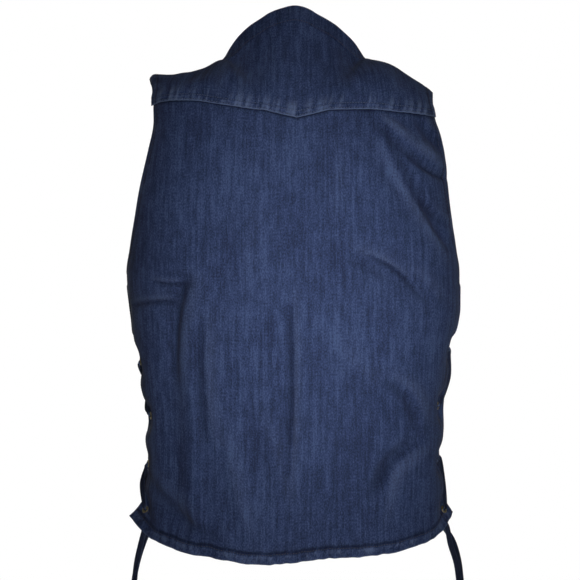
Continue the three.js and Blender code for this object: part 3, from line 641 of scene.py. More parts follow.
def punch_holes(piece, holes):
    """Cuts the cloth away inside each eyelet and rounds the cut's edge."""
    for centre, normal in holes:
        middle = np.array(centre) * MM
        places = np.empty(len(piece.data.vertices) * 3, dtype=np.float32)
        piece.data.vertices.foreach_get("co", places)
        away = places.reshape(-1, 3) - middle
        away = away - (away @ normal)[:, None] * normal
        distance = np.linalg.norm(away, axis=1)
        near = np.linalg.norm(places.reshape(-1, 3) - middle, axis=1) < HOLE_REACH * MM * 1.6
        bpy.ops.object.mode_set(mode="EDIT")
        bpy.ops.mesh.select_mode(type="VERT")
        bpy.ops.mesh.select_all(action="DESELECT")
        bpy.ops.object.mode_set(mode="OBJECT")
        piece.data.vertices.foreach_set("select", near & (distance < HOLE_CLEAR * MM))
        bpy.ops.object.mode_set(mode="EDIT")
        bpy.ops.mesh.delete(type="VERT")
        bpy.ops.object.mode_set(mode="OBJECT")
        uses = np.zeros(len(piece.data.edges), dtype=int)
        sides = np.empty(len(piece.data.loops), dtype=np.int32)
        piece.data.loops.foreach_get("edge_index", sides)
        np.add.at(uses, sides, 1)
        rim_points = {v for e in np.flatnonzero(uses == 1) for v in piece.data.edges[int(e)].vertices}
        for index in rim_points:
            vertex = piece.data.vertices[index]
            offset = np.array(vertex.co) - middle
            flat = offset - (offset @ normal) * normal
            size = np.linalg.norm(flat)
            if np.linalg.norm(offset) < HOLE_REACH * MM:
                vertex.co = middle + flat / size * HOLE_RADIUS * MM + (offset @ normal) * normal


# %% [markdown]
# An eyelet sits 13 mm in from the slit's edge. Its place and the way it faces come from the cloth around it,
# and the same two values then place the ring, the hole and the lace.

# %% Eyelet places
EYELET_SPAN = (0.03, 6.0)
SIDES = {"left": -1, "right": 1}


def normal_at(on_cloth, turn, rise):
    along = on_cloth(turn, 0) - on_cloth(-turn, 0)
    up = on_cloth(0, rise) - on_cloth(0, -rise)
    normal = np.cross(along, up)
    return normal / np.linalg.norm(normal)


def eyelet_place(side_name, panel, z):
    y_sign = -1 if panel == "back" else 1

    def on_cloth(turn, rise):
        height = z + rise
        y = y_sign * (edge_of[panel](z) + EYELET_INSET)
        return cloth_point(panel, angle_at_y(SIDES[side_name], z, y) + turn, height)

    return on_cloth(0, 0), normal_at(on_cloth, *EYELET_SPAN)


eyelets = {
    (side_name, panel, row): eyelet_place(side_name, panel, z)
    for side_name in SIDES for panel in ("back", "front") for row, z in enumerate(LACE_ROWS[side_name])}
print(len(eyelets), "eyelets")


def holes_in(panel, side_names):
    return [place for key, place in eyelets.items() if key[1] == panel and key[0] in side_names]


# %% [markdown]
# The back panel runs from the curved hem to the pointed yoke seam. It is cut in one piece, and 7 mm of it
# goes on under the yoke and, along the short side seams, under the fronts.

# %% Yoke seam and the back panel's surface
yoke_seam = table("across z", [
    (-1, -58),
    (-0.86, -55),
    (-0.71, -56),
    (-0.53, -62),
    (-0.28, -69),
    (0, -71),
    (0.32, -69),
    (0.53, -67.5),
    (0.71, -70),
    (1, -72),
])
POINT_DROP, POINT_REACH = 8.0, 0.25
SEAM_GAP = 0.3
seam_base_z = curve_of(yoke_seam, "across", "z")
SIDE_SEAM = (-338.0, -268.0)
SEAM_EASE = 8.0
BODY_RADIUS = 200.0


def yoke_seam_z(share):
    return seam_base_z(share) - POINT_DROP * np.maximum(0, 1 - np.abs(share) / POINT_REACH)


def in_side_seam(z):
    low, high = SIDE_SEAM
    return ease((z - low) / SEAM_EASE) * ease((high - z) / SEAM_EASE)


def back_edge_angle(side, z):
    return np.abs(angle_at_y(side, z, -edge_of["back"](z)))


def back_surface(across, up):
    side = np.where(across < 0, -1, 1)
    left_z = mix(back_hem_z(-1), yoke_seam_z(-1), up)
    right_z = mix(back_hem_z(1), yoke_seam_z(1), up)
    edge_z = np.where(side < 0, left_z, right_z)
    level_z = mix(left_z, right_z, (across + 1) / 2)
    hem_level = mix(back_hem_z(-1), back_hem_z(1), (across + 1) / 2)
    seam_level = mix(yoke_seam_z(-1), yoke_seam_z(1), (across + 1) / 2)
    hem_z = back_hem_z(across) + HEM_UNEVEN * uneven(across * 30, 0, 9)
    bend = mix(hem_z - hem_level, yoke_seam_z(across) - SEAM_GAP - seam_level, up)
    angle = across * (back_edge_angle(side, edge_z) + in_side_seam(edge_z) * SEAM_TUCK / BODY_RADIUS)
    return cloth_point("back", angle, level_z + bend)


# %% Back panel
BACK_COLUMNS, BACK_ROWS = 196, 236
BACK_HEIGHT = 510.0
YOKE_CLEAR, TUCK_DIP, YOKE_SHADOW = 16, 0.25, 1.1
back_up = np.linspace(0, 1 + SEAM_TUCK / BACK_HEIGHT, BACK_ROWS)
back = lay_panel("back", back_surface, np.linspace(-1, 1, BACK_COLUMNS), back_up, 1)
ARMHOLE_WIDE, ARMHOLE_RISE, ARM_STITCH = 12.0, 0.45, 11.0
FACING_WIDE, FACING_RISE = 24.0, 0.35
SEAM_FOOT_Z, SEAM_TOP_Z, FRONT_SEAM_TOP_Z = -336, -272, -266
EDGE_STITCH = 2.2
run, hem_up = back["from_first"], back["from_bottom"]
edge_z = back["places"][:, 0, 2][:, None]
above_seam = ease((edge_z - SEAM_TOP_Z) / 14)
below_seam = ease((SEAM_FOOT_Z - edge_z) / 10)
soft_unevenness(back, 1)
doubled_edge(back, hem_up, HEM_WIDE, HEM_RISE)
rolled_hem(back, hem_up, run, 15)
stitch_groove(back, hem_up, run, HEM_STITCH, pitch=3.4, pucker=0.6, reach=4, seed=11, pale=0.4)
for side_name, distance in (("left", back["from_first"]), ("right", back["from_last"])):
    seed = 21 if side_name == "left" else 31
    sewn_edge(back, above_seam, distance, hem_up, ARMHOLE_WIDE, ARMHOLE_RISE, ARM_STITCH,
              pitch=8, pucker=0.3, seed=seed)
    sewn_edge(back, below_seam, distance, hem_up, FACING_WIDE, FACING_RISE, EDGE_STITCH,
              pucker=0.2, reach=3, seed=seed + 3)
    facing = new_layer(back)
    stitch_groove(facing, distance, hem_up, FACING_WIDE, pitch=9, pucker=0.3, seed=seed + 5)
    add_layer(back, facing, 1 - above_seam)
creases_on(back, table(CREASE, [
    (86, -66, 182, -145, 6.5, -6.5, -9),
    (150, -131, 184, -146, 2.4, -2.2, -2),
    (146, -74, 176, -108, 7, -4, -3),
    (98, -76, 130, -96, 6, 2, 0),
    (148, -106, 167, -120, 6, 2, 0),
    (184, -226, 113, -106, 6, -6, 2),
    (150, -176, 186, -202, 4, -2.6, -3),
    (90, -241, 150, -289, 2.6, -3, 5),
    (64, -240, 112, -256, 7, -3, -4),
    (126, -262, 166, -300, 7, -3.4, 4),
    (-4, -300, -7, -490, 3.6, -3.2, 2),
    (-52, -432, -22, -530, 9, -2.6, 5),
    (-84, -470, -60, -570, 8, -3, -5),
    (-163, -270, -128, -272, 2.2, -2.6, -1),
    (-192, -297, -141, -293, 2.6, -2.8, 1),
    (-160, -300, -138, -298, 7, -2.5, 0),
    (108, -388, 146, -440, 7, -6.5, 9),
    (146, -456, 92, -520, 7, -6.5, -9),
    (40, -352, 96, -402, 9, -2.6, -5),
    (107, -481, 94, -549, 6, -2.8, 4),
    (-175, -506, -96, -567, 8, -4.2, -6),
    (88, -592, 131, -579, 4, -2.6, 2),
    (-127, -268, -141, -382, 7, -5, -5),
    (-110, -322, -104, -452, 6.5, -5, -3),
    (-110, -438, -98, -600, 14, -3.6, 5),
    (35, -110, 28, -190, 8, -1.6, 3),
    (-60, -180, -72, -260, 9, -1.6, -4),
]))
below_yoke = back["from_top"] - SEAM_TUCK
back["relief"] = mix(np.minimum(back["relief"], 0), back["relief"], ease(below_yoke / YOKE_CLEAR))
back["relief"] -= TUCK_DIP * ease((1 - below_yoke) / 2)
back["wear_and_shading"] -= YOKE_SHADOW * bell(below_yoke - 0.4, 1.5)
back_piece = cloth_piece(back, "back_panel_cloth", holes_in("back", ("left", "right")))
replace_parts(back_piece, "back_panel")

# %% [markdown]
# The yoke lies over the back panel's top edge, turned under and stitched twice. It runs over the shoulders to
# the front seam, and between them it stands up behind the neck.

# %% Yoke surface
NECK_X, NECK_HALF, NECK_TOP_Z = 2.0, 87.5, 60.5
SHOULDER_SEAM_Y, NECK_REACH, CREST_RISE = 22.0, 72.0, 12.0
TIP_X = {-1: -175.0, 1: 170.0}
NECK_SHARE = 0.6 * 7 / 16 + 0.4 * math.sin(7 / 16 * math.pi / 2)
BEND_START = 0.6
SEAM_HANDLE, NECK_HANDLE, SHOULDER_HANDLE = 0.4, 0.3, 0.36
NECK_LEAN = np.array((0, 0.2, 0.98))
shoulder_seam = table("out left right", [
    (0, -11.5, -11),
    (0.15, -15.5, -11.5),
    (0.28, -20, -12.5),
    (0.4, -25, -16.5),
    (0.5, -28.5, -21.2),
    (0.63, -30.5, -28),
    (0.75, -28, -33.8),
    (0.95, -23.2, -43.4),
    (1, -26.5, -46),
])
shoulder_z = {-1: curve_of(shoulder_seam, "out", "left"), 1: curve_of(shoulder_seam, "out", "right")}
neck_arch = table("across rise", [
    (-1, 0),
    (-0.92, 0.2),
    (-0.86, 0.315),
    (-0.78, 0.445),
    (-0.63, 0.625),
    (-0.46, 0.77),
    (-0.35, 0.865),
    (-0.2, 0.94),
    (0, 1),
    (0.1, 0.98),
    (0.22, 0.915),
    (0.3, 0.845),
    (0.43, 0.75),
    (0.57, 0.635),
    (0.65, 0.545),
    (0.83, 0.325),
    (0.9, 0.2),
    (1, 0),
])
neck_rise = curve_of(neck_arch, "across", "rise")
front_rise = table("across leave_x leave_y leave_z reach_x reach_y reach_z", [
    (0, -10, 60, 4, -12, 44, -60),
    (0.12, -10, 30, 45, -8, 46, -56),
    (0.35, -4, 2, 78, -2, 50, -50),
    (0.7, 2, -2, 78, -4, 52, -45),
    (1, 22, -2, 62, -12, 46, -40),
])
rise_of = {column: curve_of(front_rise, "across", column) for column in front_rise}


def unit(vectors):
    return vectors / np.linalg.norm(vectors, axis=-1, keepdims=True)


def yoke_top(across):
    side = np.where(across < 0, -1, 1)
    crest_z = np.where(side < 0, shoulder_z[-1](0), shoulder_z[1](0)) + CREST_RISE
    turn = np.clip(across / NECK_SHARE, -1, 1) * math.pi / 2
    rise = neck_rise(np.sin(turn))
    y = SHOULDER_SEAM_Y - NECK_REACH * np.cos(turn)
    z = mix(crest_z, NECK_TOP_Z, rise) - CREST_RISE * np.maximum(0, y / SHOULDER_SEAM_Y) ** 2
    neck = np.stack([NECK_X + NECK_HALF * np.sin(turn), y, z], axis=-1)
    out = np.clip((np.abs(across) - NECK_SHARE) / (1 - NECK_SHARE), 0, 1)
    tip_x = np.where(side < 0, TIP_X[-1], TIP_X[1])
    seam_z = np.where(side < 0, shoulder_z[-1](out), shoulder_z[1](out))
    shoulder_x = mix(NECK_X + side * NECK_HALF, tip_x, out)
    shoulder = np.stack(np.broadcast_arrays(shoulder_x, SHOULDER_SEAM_Y, seam_z), axis=-1)
    return np.where((np.abs(across) <= NECK_SHARE)[..., None], neck, shoulder)


def shoulder_reach(side, across):
    return np.stack([side * rise_of["reach_x"](across), rise_of["reach_y"](across),
                     rise_of["reach_z"](across)], axis=-1)


def bezier(first, second, third, fourth, t):
    t = np.asarray(t)[..., None]
    rest = 1 - t
    return rest**3 * first + 3 * rest**2 * t * second + 3 * rest * t**2 * third + t**3 * fourth


def yoke_surface(across, up):
    top = yoke_top(across)
    side = np.where(across < 0, -1, 1)
    seam_z = yoke_seam_z(across) + SEAM_GAP
    angle = across * back_edge_angle(side, yoke_seam_z(side))
    seam = cloth_point("back", angle, seam_z)
    rise = unit(cloth_point("back", angle, seam_z + 4) - seam)
    over = np.clip((np.abs(across) / NECK_SHARE - BEND_START) / (1 - BEND_START), 0, 1)[..., None]
    front_share = np.minimum(1, (1 - np.abs(across)) / (1 - NECK_SHARE))
    lean = unit(mix(NECK_LEAN, unit(shoulder_reach(side, front_share)), over))
    length = np.linalg.norm(top - seam, axis=-1, keepdims=True)
    first = seam + rise * length * SEAM_HANDLE
    second = top - lean * length * mix(NECK_HANDLE, SHOULDER_HANDLE, over)
    return bezier(seam, first, second, top, up)


NECK_SOFT, NECK_SOFT_REACH, SOFT_STEPS = 0.17, 0.2, 13
SOFT_FOOT, SOFT_TOP, SOFT_END = 0.15, 0.87, 0.13


def soft_yoke_surface(across, up):
    """The yoke's surface, rounded where the neck's flank meets the shoulder."""
    offsets = np.linspace(-NECK_SOFT, NECK_SOFT, SOFT_STEPS)
    weights = bell(offsets, NECK_SOFT / 2)
    beside = [yoke_surface(np.clip(across + offset, -1, 1), up) for offset in offsets]
    softened = sum(weight * places for weight, places in zip(weights / weights.sum(), beside))
    share = bell(np.abs(across) - NECK_SHARE, NECK_SOFT_REACH) * ease(up / SOFT_FOOT)
    share = share * (1 - ease((up - SOFT_TOP) / SOFT_END))
    return mix(yoke_surface(across, up), softened, share[..., None])


# %% Yoke
YOKE_COLUMNS, YOKE_ROWS = 211, 76
YOKE_STITCHES = (2.0, 7.5)
LAP_FLAT, LAP_FALL, SHOULDER_EASE = 8, 12, 0.16
BAND_WIDE, BAND_EASE, NECK_EASE = 22.0, 4, 0.03
columns = np.linspace(-1, 1, YOKE_COLUMNS)
columns[np.argmin(np.abs(columns - NECK_SHARE))] = NECK_SHARE
columns[np.argmin(np.abs(columns + NECK_SHARE))] = -NECK_SHARE
yoke = lay_panel("yoke", soft_yoke_surface, columns, np.linspace(0, 1, YOKE_ROWS) ** 1.05, 1)
run = yoke["from_first"]
soft_unevenness(yoke, 5)
yoke["relief"] += SEAM_RISE * (1 - ease((yoke["from_bottom"] - LAP_FLAT) / LAP_FALL))
yoke["wear_and_shading"] += 1.0 * bell(yoke["from_bottom"] - 0.3, 1.0)
for line, reach, seed in zip(YOKE_STITCHES, (3, 9), (41, 43)):
    stitch_groove(yoke, yoke["from_bottom"], run, line,
                  pitch=3.2, pucker=0.5, reach=reach, seed=seed, pale=0.85)
on_shoulder = ease((np.abs(yoke["across"]) - NECK_SHARE) / SHOULDER_EASE)
yoke["relief"] += SEAM_RISE * (1 - ease((yoke["from_top"] - SEAM_FLAT) / SEAM_FALL)) * on_shoulder
for distance, seed in ((yoke["from_first"], 45), (yoke["from_last"], 47)):
    doubled_edge(yoke, distance, ARMHOLE_WIDE, ARMHOLE_RISE)
    stitch_groove(yoke, distance, yoke["from_bottom"], ARM_STITCH, pucker=0.25, seed=seed)
creases_on(yoke, table(CREASE, [
    (-128, -32, -98, -8, 12, -4.5, 3),
    (-80, -8, -88, -44, 7, 2.2, 2),
    (-140, -46, -112, -26, 8, 1.5, 0),
    (-15, 47, 23, 38, 4, -1.3, 3),
    (118, -20, 130, -50, 8, 1.5, -3),
    (30, 10, 42, -45, 9, -1.5, 4),
    (92, 4, 71, -20, 4, 1.6, 0),
    (-66, -14, -60, -50, 7, 1.8, 2),
    (-30, 20, -36, -40, 10, -1.6, -3),
]))
# Under the neck band the yoke lies smooth, so that it stays between the band's two halves.
in_neck = ease((NECK_SHARE - np.abs(yoke["across"])) / NECK_EASE)
yoke["relief"] *= 1 - in_neck * (1 - ease((yoke["from_top"] - BAND_WIDE) / BAND_EASE))
yoke_piece = cloth_piece(yoke, "back_yoke_cloth")
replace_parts(yoke_piece, "back_yoke")

# %% [markdown]
# Each front is one piece from the hem to the shoulder seam, with a straight edge up to the chest and a
# slanted one from there to the neck. The left front laps over the right by 14 mm each side of the centre.

# %% Front surface
CHEST_Z = -262.0
FRONT_OVERLAP = 14.0
OVERLAP_STEP = 1.2
FRONT_INNER = math.pi + FRONT_OVERLAP / float(body_front(CHEST_Z))


def layer_of(side, angle):
    from_centre = np.abs(np.abs(angle) - math.pi) * float(body_front(CHEST_Z))
    return -side * OVERLAP_STEP * ease(1 - (from_centre - FRONT_OVERLAP) / (2 * FRONT_OVERLAP))


def front_surface(side):
    """Up runs from the hem at 0 to the chest at 1 and the shoulder seam at 2, and then under the yoke."""
    def angle_at(across, edge_z):
        edge = np.abs(angle_at_y(side, edge_z, edge_of["front"](edge_z)))
        return mix(edge, FRONT_INNER, across) * side

    def surface(across, up):
        low = np.clip(up, 0, 1)
        hem_z = front_hem_z(0)
        edge_z = mix(hem_z, CHEST_Z, low)
        angle = angle_at(across, edge_z)
        z = edge_z + (front_hem_z(across) - hem_z) * (1 - low)
        lower = cloth_point("front", angle, z, layer_of(side, angle))
        share = side * mix(1, NECK_SHARE, across)
        reach = shoulder_reach(side, across)
        top = yoke_top(share) + unit(reach) * SEAM_GAP * 2
        leave = np.stack([side * rise_of["leave_x"](across), rise_of["leave_y"](across),
                          rise_of["leave_z"](across)], axis=-1)
        upper = bezier(lower, lower + leave, top + reach, top, np.clip(up - 1, 0, 1))
        over = np.maximum(up - 2, 0)
        tucked = soft_yoke_surface(share, 1 - over)
        return np.where((up <= 1)[..., None], lower, np.where((up <= 2)[..., None], upper, tucked))

    return surface


# %% Fronts
FRONT_COLUMNS, LOWER_ROWS, UPPER_ROWS, TUCKED_ROWS = 100, 130, 104, 4
SHOULDER_TUCK = 0.05
front_up = np.concatenate([
    np.linspace(0, 1, LOWER_ROWS, endpoint=False), np.linspace(1, 2, UPPER_ROWS),
    2 + SHOULDER_TUCK * np.arange(1, TUCKED_ROWS + 1) / TUCKED_ROWS])
PLACKET_WIDE, PLACKET_RISE, PLACKET_STITCH = 26.0, 0.4, 24.5
front_creases = {
    "left": table(CREASE, [
        (-158, -268, -95, -300, 6, -3.4, 5),
        (-104, -170, -62, -255, 7, -3.2, -6),
        (-40, -400, -62, -525, 7, -2.8, 4),
        (-148, -462, -104, -500, 6, -3.2, 6),
        (-70, -560, -30, -545, 5, -2.2, 2),
    ]),
    "right": table(CREASE, [
        (166, -258, 104, -290, 6, -3.4, -5),
        (112, -140, 70, -232, 7, -3.2, 5),
        (60, -412, 86, -545, 7, -2.8, -4),
        (118, -566, 152, -520, 6, -3, 4),
    ]),
}
for side_name, side in SIDES.items():
    front = lay_panel("front_" + side_name, front_surface(side), np.linspace(0, 1, FRONT_COLUMNS), front_up,
                      facing=side, grain_at=1.0)
    seed = 60 + 20 * (side > 0)
    run, hem_up = front["from_first"], front["from_bottom"]
    edge_z = front["places"][:, 0, 2][:, None]
    above_seam = ease((edge_z - FRONT_SEAM_TOP_Z) / 10)
    below_seam = ease((SEAM_FOOT_Z - edge_z) / 10)
    soft_unevenness(front, seed)
    doubled_edge(front, hem_up, HEM_WIDE, HEM_RISE)
    rolled_hem(front, hem_up, run, seed + 7)
    stitch_groove(front, hem_up, run, HEM_STITCH, pitch=3.4, pucker=0.6, reach=4, seed=seed + 1, pale=0.4)
    doubled_edge(front, front["from_last"], PLACKET_WIDE, PLACKET_RISE)
    stitch_groove(front, front["from_last"], hem_up, EDGE_STITCH, pucker=0.2, reach=3, seed=seed + 2)
    stitch_groove(front, front["from_last"], hem_up, PLACKET_STITCH, pucker=0.3, seed=seed + 3)
    sewn_edge(front, above_seam, run, hem_up, ARMHOLE_WIDE, ARMHOLE_RISE, ARM_STITCH,
              pucker=0.3, seed=seed + 4)
    edge = new_layer(front)
    doubled_edge(edge, run, FACING_WIDE, FACING_RISE)
    stitch_groove(edge, run, hem_up, EDGE_STITCH, pucker=0.2, reach=3, seed=seed + 5)
    stitch_groove(edge, run, hem_up, FACING_WIDE, pucker=0.3, seed=seed + 6)
    add_layer(front, edge, below_seam)
    front["relief"] += SEAM_RISE * (1 - ease((run - SEAM_FLAT) / SEAM_FALL)) * in_side_seam(edge_z)
    front["relief"] -= TUCK_DIP * (front["up"] > 2)
    creases_on(front, front_creases[side_name])
    piece = cloth_piece(front, "front_" + side_name + "_cloth", holes_in("front", (side_name,)))
    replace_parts(piece, "front_" + side_name)

# %% [markdown]
# A band 22 mm wide binds the back neck edge: it is sewn on outside, turned over the edge and sewn down
# inside.

# %% Neck band
BAND_THICK, BAND_LIFT = 0.8, 0.15
BAND_COLUMNS, BAND_END = 121, 0.08
FOLD_START, FOLD_END, FOLD_LONG = 0.94, 1.06, 0.12
band_share = NECK_SHARE * 0.985


def band_surface(across, up):
    """Up runs from the outside edge at 0 over the top at 1 to the inside edge at 2."""
    height = np.linalg.norm(yoke_top(across) - soft_yoke_surface(across, 0 * up), axis=-1)
    start = 1 - BAND_WIDE / height
    step = 1e-3
    share = np.where(up <= 1, mix(start, 1, np.clip(up, 0, 1)), mix(1, start, np.clip(up - 1, 0, 1)))
    place = soft_yoke_surface(across, share)
    rising = place - soft_yoke_surface(across, share - step)
    along = soft_yoke_surface(across + step, share) - soft_yoke_surface(across - step, share)
    normal = unit(np.cross(along, rising))
    rising = unit(rising)
    top_turn = np.clip((up - FOLD_START) / FOLD_LONG, 0, 1) * math.pi
    half = (CLOTH_THICK + 2 * BAND_LIFT + BAND_THICK) / 2
    centre = -CLOTH_THICK / 2
    reach = (half + BAND_THICK / 2) * mix(0.4, 1, ease((band_share - np.abs(across)) / BAND_END))
    outward = centre + reach * np.cos(top_turn)
    over = reach * np.sin(top_turn)
    return place + normal * outward[..., None] + rising * over[..., None]


band_up = np.concatenate([
    np.linspace(0, FOLD_START, 12, endpoint=False), np.linspace(FOLD_START, FOLD_END, 9),
    np.linspace(FOLD_END, 2, 10)[1:]])
band = lay_panel("band", band_surface, np.linspace(-band_share, band_share, BAND_COLUMNS), band_up, 1)
for distance, seed in ((band["from_bottom"], 71), (band["from_top"], 73)):
    stitch_groove(band, distance, band["from_first"], EDGE_STITCH, pitch=6, pucker=0.15, reach=3, seed=seed)
band["wear_and_shading"] *= 0.35
crease(band, -15, 47, 23, 38, 4, -0.6, 3)
band_piece = cloth_piece(
    band, "neck_band_cloth", thick=BAND_THICK, face=denim_dark_face, inside=denim_dark_face)
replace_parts(band_piece, "neck_band")

# %% [markdown]
# Flat laces run through the eyelets: across inside at the top, crossed outside, straight down inside, crossed
# outside again, and out at the bottom. A lace is a list of keys with its place, the way its flat side faces
# and its width, since it bunches where it goes through a hole.

# %% Lace route
LACE_WIDE, LACE_THICK, LACE_BUNCHED = 7.0, 1.3, 2.6
LACE_LIFT = {"left": (-5.0, 6.0), "right": (4.2, 1.0)}
LACE_TWIST = {"left": (1.6, 2.6), "right": (3.0, 4.0)}
LACE_BACKWARD = {"left": (0.0, -1.0), "right": (3.0, 3.0)}
LACE_CROSS, LACE_INSIDE = 2.2, 3.4
BACKWARD = np.array((0, -1.0, 0))
CAD_CLOTH = 1.8
BEND_HEIGHTS = {"outside": (1.6, 2.8), "inside": (-CAD_CLOTH - 1.6, -CAD_CLOTH - 3)}
BEND_AWAY, BEND_SPREAD, STRAIGHT = 5.5, 0.6, 0.2
LACE_ORDER = (("back", 3), ("front", 2), ("front", 1), ("back", 0),
              ("front", 0), ("back", 1), ("back", 2), ("front", 3))


def through_eyelet(eyelet, before, after, outwards, turned):
    centre, normal = eyelet

    def flat(direction):
        return unit(direction - (direction @ normal) * normal)

    arriving, leaving = flat(centre - before), flat(after - centre)
    hole_face = (arriving + leaving) * (-1 if outwards else 1)
    if np.linalg.norm(hole_face) < STRAIGHT:
        hole_face = arriving
    first, last = ("inside", "outside") if outwards else ("outside", "inside")
    first_face, last_face = (normal, turned) if outwards else (turned, normal)
    beside_wide = mix(LACE_BUNCHED, LACE_WIDE, BEND_SPREAD)
    return [
        (centre + normal * BEND_HEIGHTS[first][1] - arriving * BEND_AWAY, first_face, beside_wide),
        (centre + normal * BEND_HEIGHTS[first][0], hole_face, LACE_BUNCHED),
        (centre + normal * BEND_HEIGHTS[last][0], hole_face, LACE_BUNCHED),
        (centre + normal * BEND_HEIGHTS[last][1] + leaving * BEND_AWAY, last_face, beside_wide),
    ]


def lace_keys(side_name):
    stops = [(panel, row, eyelets[side_name, panel, row]) for panel, row in LACE_ORDER]
    hang = np.array((0, 0, -60.0))
    keys = []
    for i, (panel, row, (centre, normal)) in enumerate(stops):
        before = centre + hang if i == 0 else stops[i - 1][2][0]
        after = centre + hang if i == len(stops) - 1 else stops[i + 1][2][0]
        twist = LACE_TWIST[side_name][0 if row < 2 else 1]
        keys += through_eyelet((centre, normal), before, after, i % 2 == 0, unit(normal + BACKWARD * twist))
        if i == len(stops) - 1:
            continue
        next_centre, next_normal = stops[i + 1][2]
        face = unit(normal + next_normal)
        crossing = LACE_CROSS if i < len(stops) / 2 - 1 else -LACE_CROSS
        pair = 0 if min(row, stops[i + 1][1]) == 0 else 1
        middle, turned = (centre + next_centre) / 2 - face * (CAD_CLOTH + LACE_INSIDE), face
        if i % 2 == 0:
            middle = (centre + next_centre) / 2 + face * (LACE_LIFT[side_name][pair] + crossing)
            middle = middle + BACKWARD * LACE_BACKWARD[side_name][pair]
            turned = unit(face + BACKWARD * LACE_TWIST[side_name][pair])
        keys.append((middle, turned, LACE_WIDE))
    return keys


def smooth_route(points, per_step):
    """A centripetal Catmull-Rom curve through the points, and its tangents."""
    points = np.array(points)
    ends = np.vstack([2 * points[0] - points[1], points, 2 * points[-1] - points[-2]])
    places, tangents = [], []
    for i in range(len(points) - 1):
        p0, p1, p2, p3 = ends[i:i + 4]
        d0, d1, d2 = (math.sqrt(np.linalg.norm(b - a)) for a, b in ((p0, p1), (p1, p2), (p2, p3)))
        m1 = ((p1 - p0) / d0 - (p2 - p0) / (d0 + d1) + (p2 - p1) / d1) * d1
        m2 = ((p2 - p1) / d1 - (p3 - p1) / (d1 + d2) + (p3 - p2) / d2) * d1
        last = i == len(points) - 2
        for t in np.linspace(0, 1, per_step + last, endpoint=last):
            places.append((2 * t**3 - 3 * t**2 + 1) * p1 + (t**3 - 2 * t**2 + t) * m1
                          + (3 * t**2 - 2 * t**3) * p2 + (t**3 - t**2) * m2)
            tangents.append((6 * t**2 - 6 * t) * (p1 - p2) + (3 * t**2 - 4 * t + 1) * m1
                            + (3 * t**2 - 2 * t) * m2)
    return np.array(places), unit(np.array(tangents))


# %% [markdown]
# The lace itself is a flat woven tube: a grid rolled up so that its rings follow the route, and closed at
# both ends. Its UV map runs along and across in metres, and the material weaves on it: fine slanted ribs
# that meet down the middle, with a painted highlight along each edge.

# %% Lace material
# The ribs and the yarns are waves, in radians a metre.
RIB_ALONG, RIB_SLANT, YARN_ACROSS = 5200, 4200, 7000
HIGHLIGHT_FROM, HIGHLIGHT_SHARE = 2.7, 0.65


def lace_material():
    material, tree, shader = new_material("lace_weave", 0.8)
    uv = add_node(tree, "ShaderNodeUVMap", {"uv_map": "cloth"}).outputs[0]
    parts = add_node(tree, "ShaderNodeSeparateXYZ", Vector=uv)
    across, along = parts.outputs[0], parts.outputs[1]
    from_middle = maths(tree, "ABSOLUTE", across)
    slanted = weighted_sum(tree, [(along, RIB_ALONG), (from_middle, RIB_SLANT)])
    rib, yarns = (
        maths(tree, "ADD", maths(tree, "MULTIPLY", maths(tree, "SINE", phase), 0.5), 0.5)
        for phase in (slanted, maths(tree, "MULTIPLY", across, YARN_ACROSS)))
    tone = weighted_sum(tree, [(rib, 0.45), (speckle(tree, uv, 900.0, 2.0), 0.5)])
    colour = ramp(tree, tone, [
        (0.2, (0.006, 0.008, 0.02)), (0.55, (0.015, 0.02, 0.045)), (0.9, (0.036, 0.046, 0.09))])
    # Painted highlight: the lace is paler along both edges.
    edge = maths(tree, "SUBTRACT", maths(tree, "MULTIPLY", from_middle, 1 / MM), HIGHLIGHT_FROM)
    edge = maths(tree, "MINIMUM", maths(tree, "MAXIMUM", edge, 0.0), 1.0)
    edge = maths(tree, "MULTIPLY", edge, HIGHLIGHT_SHARE)
    colour = mix_colour(tree, edge, colour, (0.10, 0.14, 0.24, 1))
    tree.links.new(colour, shader.inputs["Base Color"])
    add_bump(tree, shader, weighted_sum(tree, [(rib, 1), (yarns, 0.5)]), 0.6, 0.0003)
    shader.inputs["Specular IOR Level"].default_value = 0.15
    return material


lace_weave = lace_material()

# %% Laces through the eyelets
LACE_SIDES, LACE_STEPS = 14, 9
BUNCHED_THICK, TIP_NARROWS = 1.9, (0.95, 0.86, 0.7)
SQUARED, MIDDLE_DIP = (0.7, 0.55), 0.18


def running_length(places):
    return np.concatenate([[0], np.cumsum(np.linalg.norm(np.diff(places, axis=0), axis=1))])


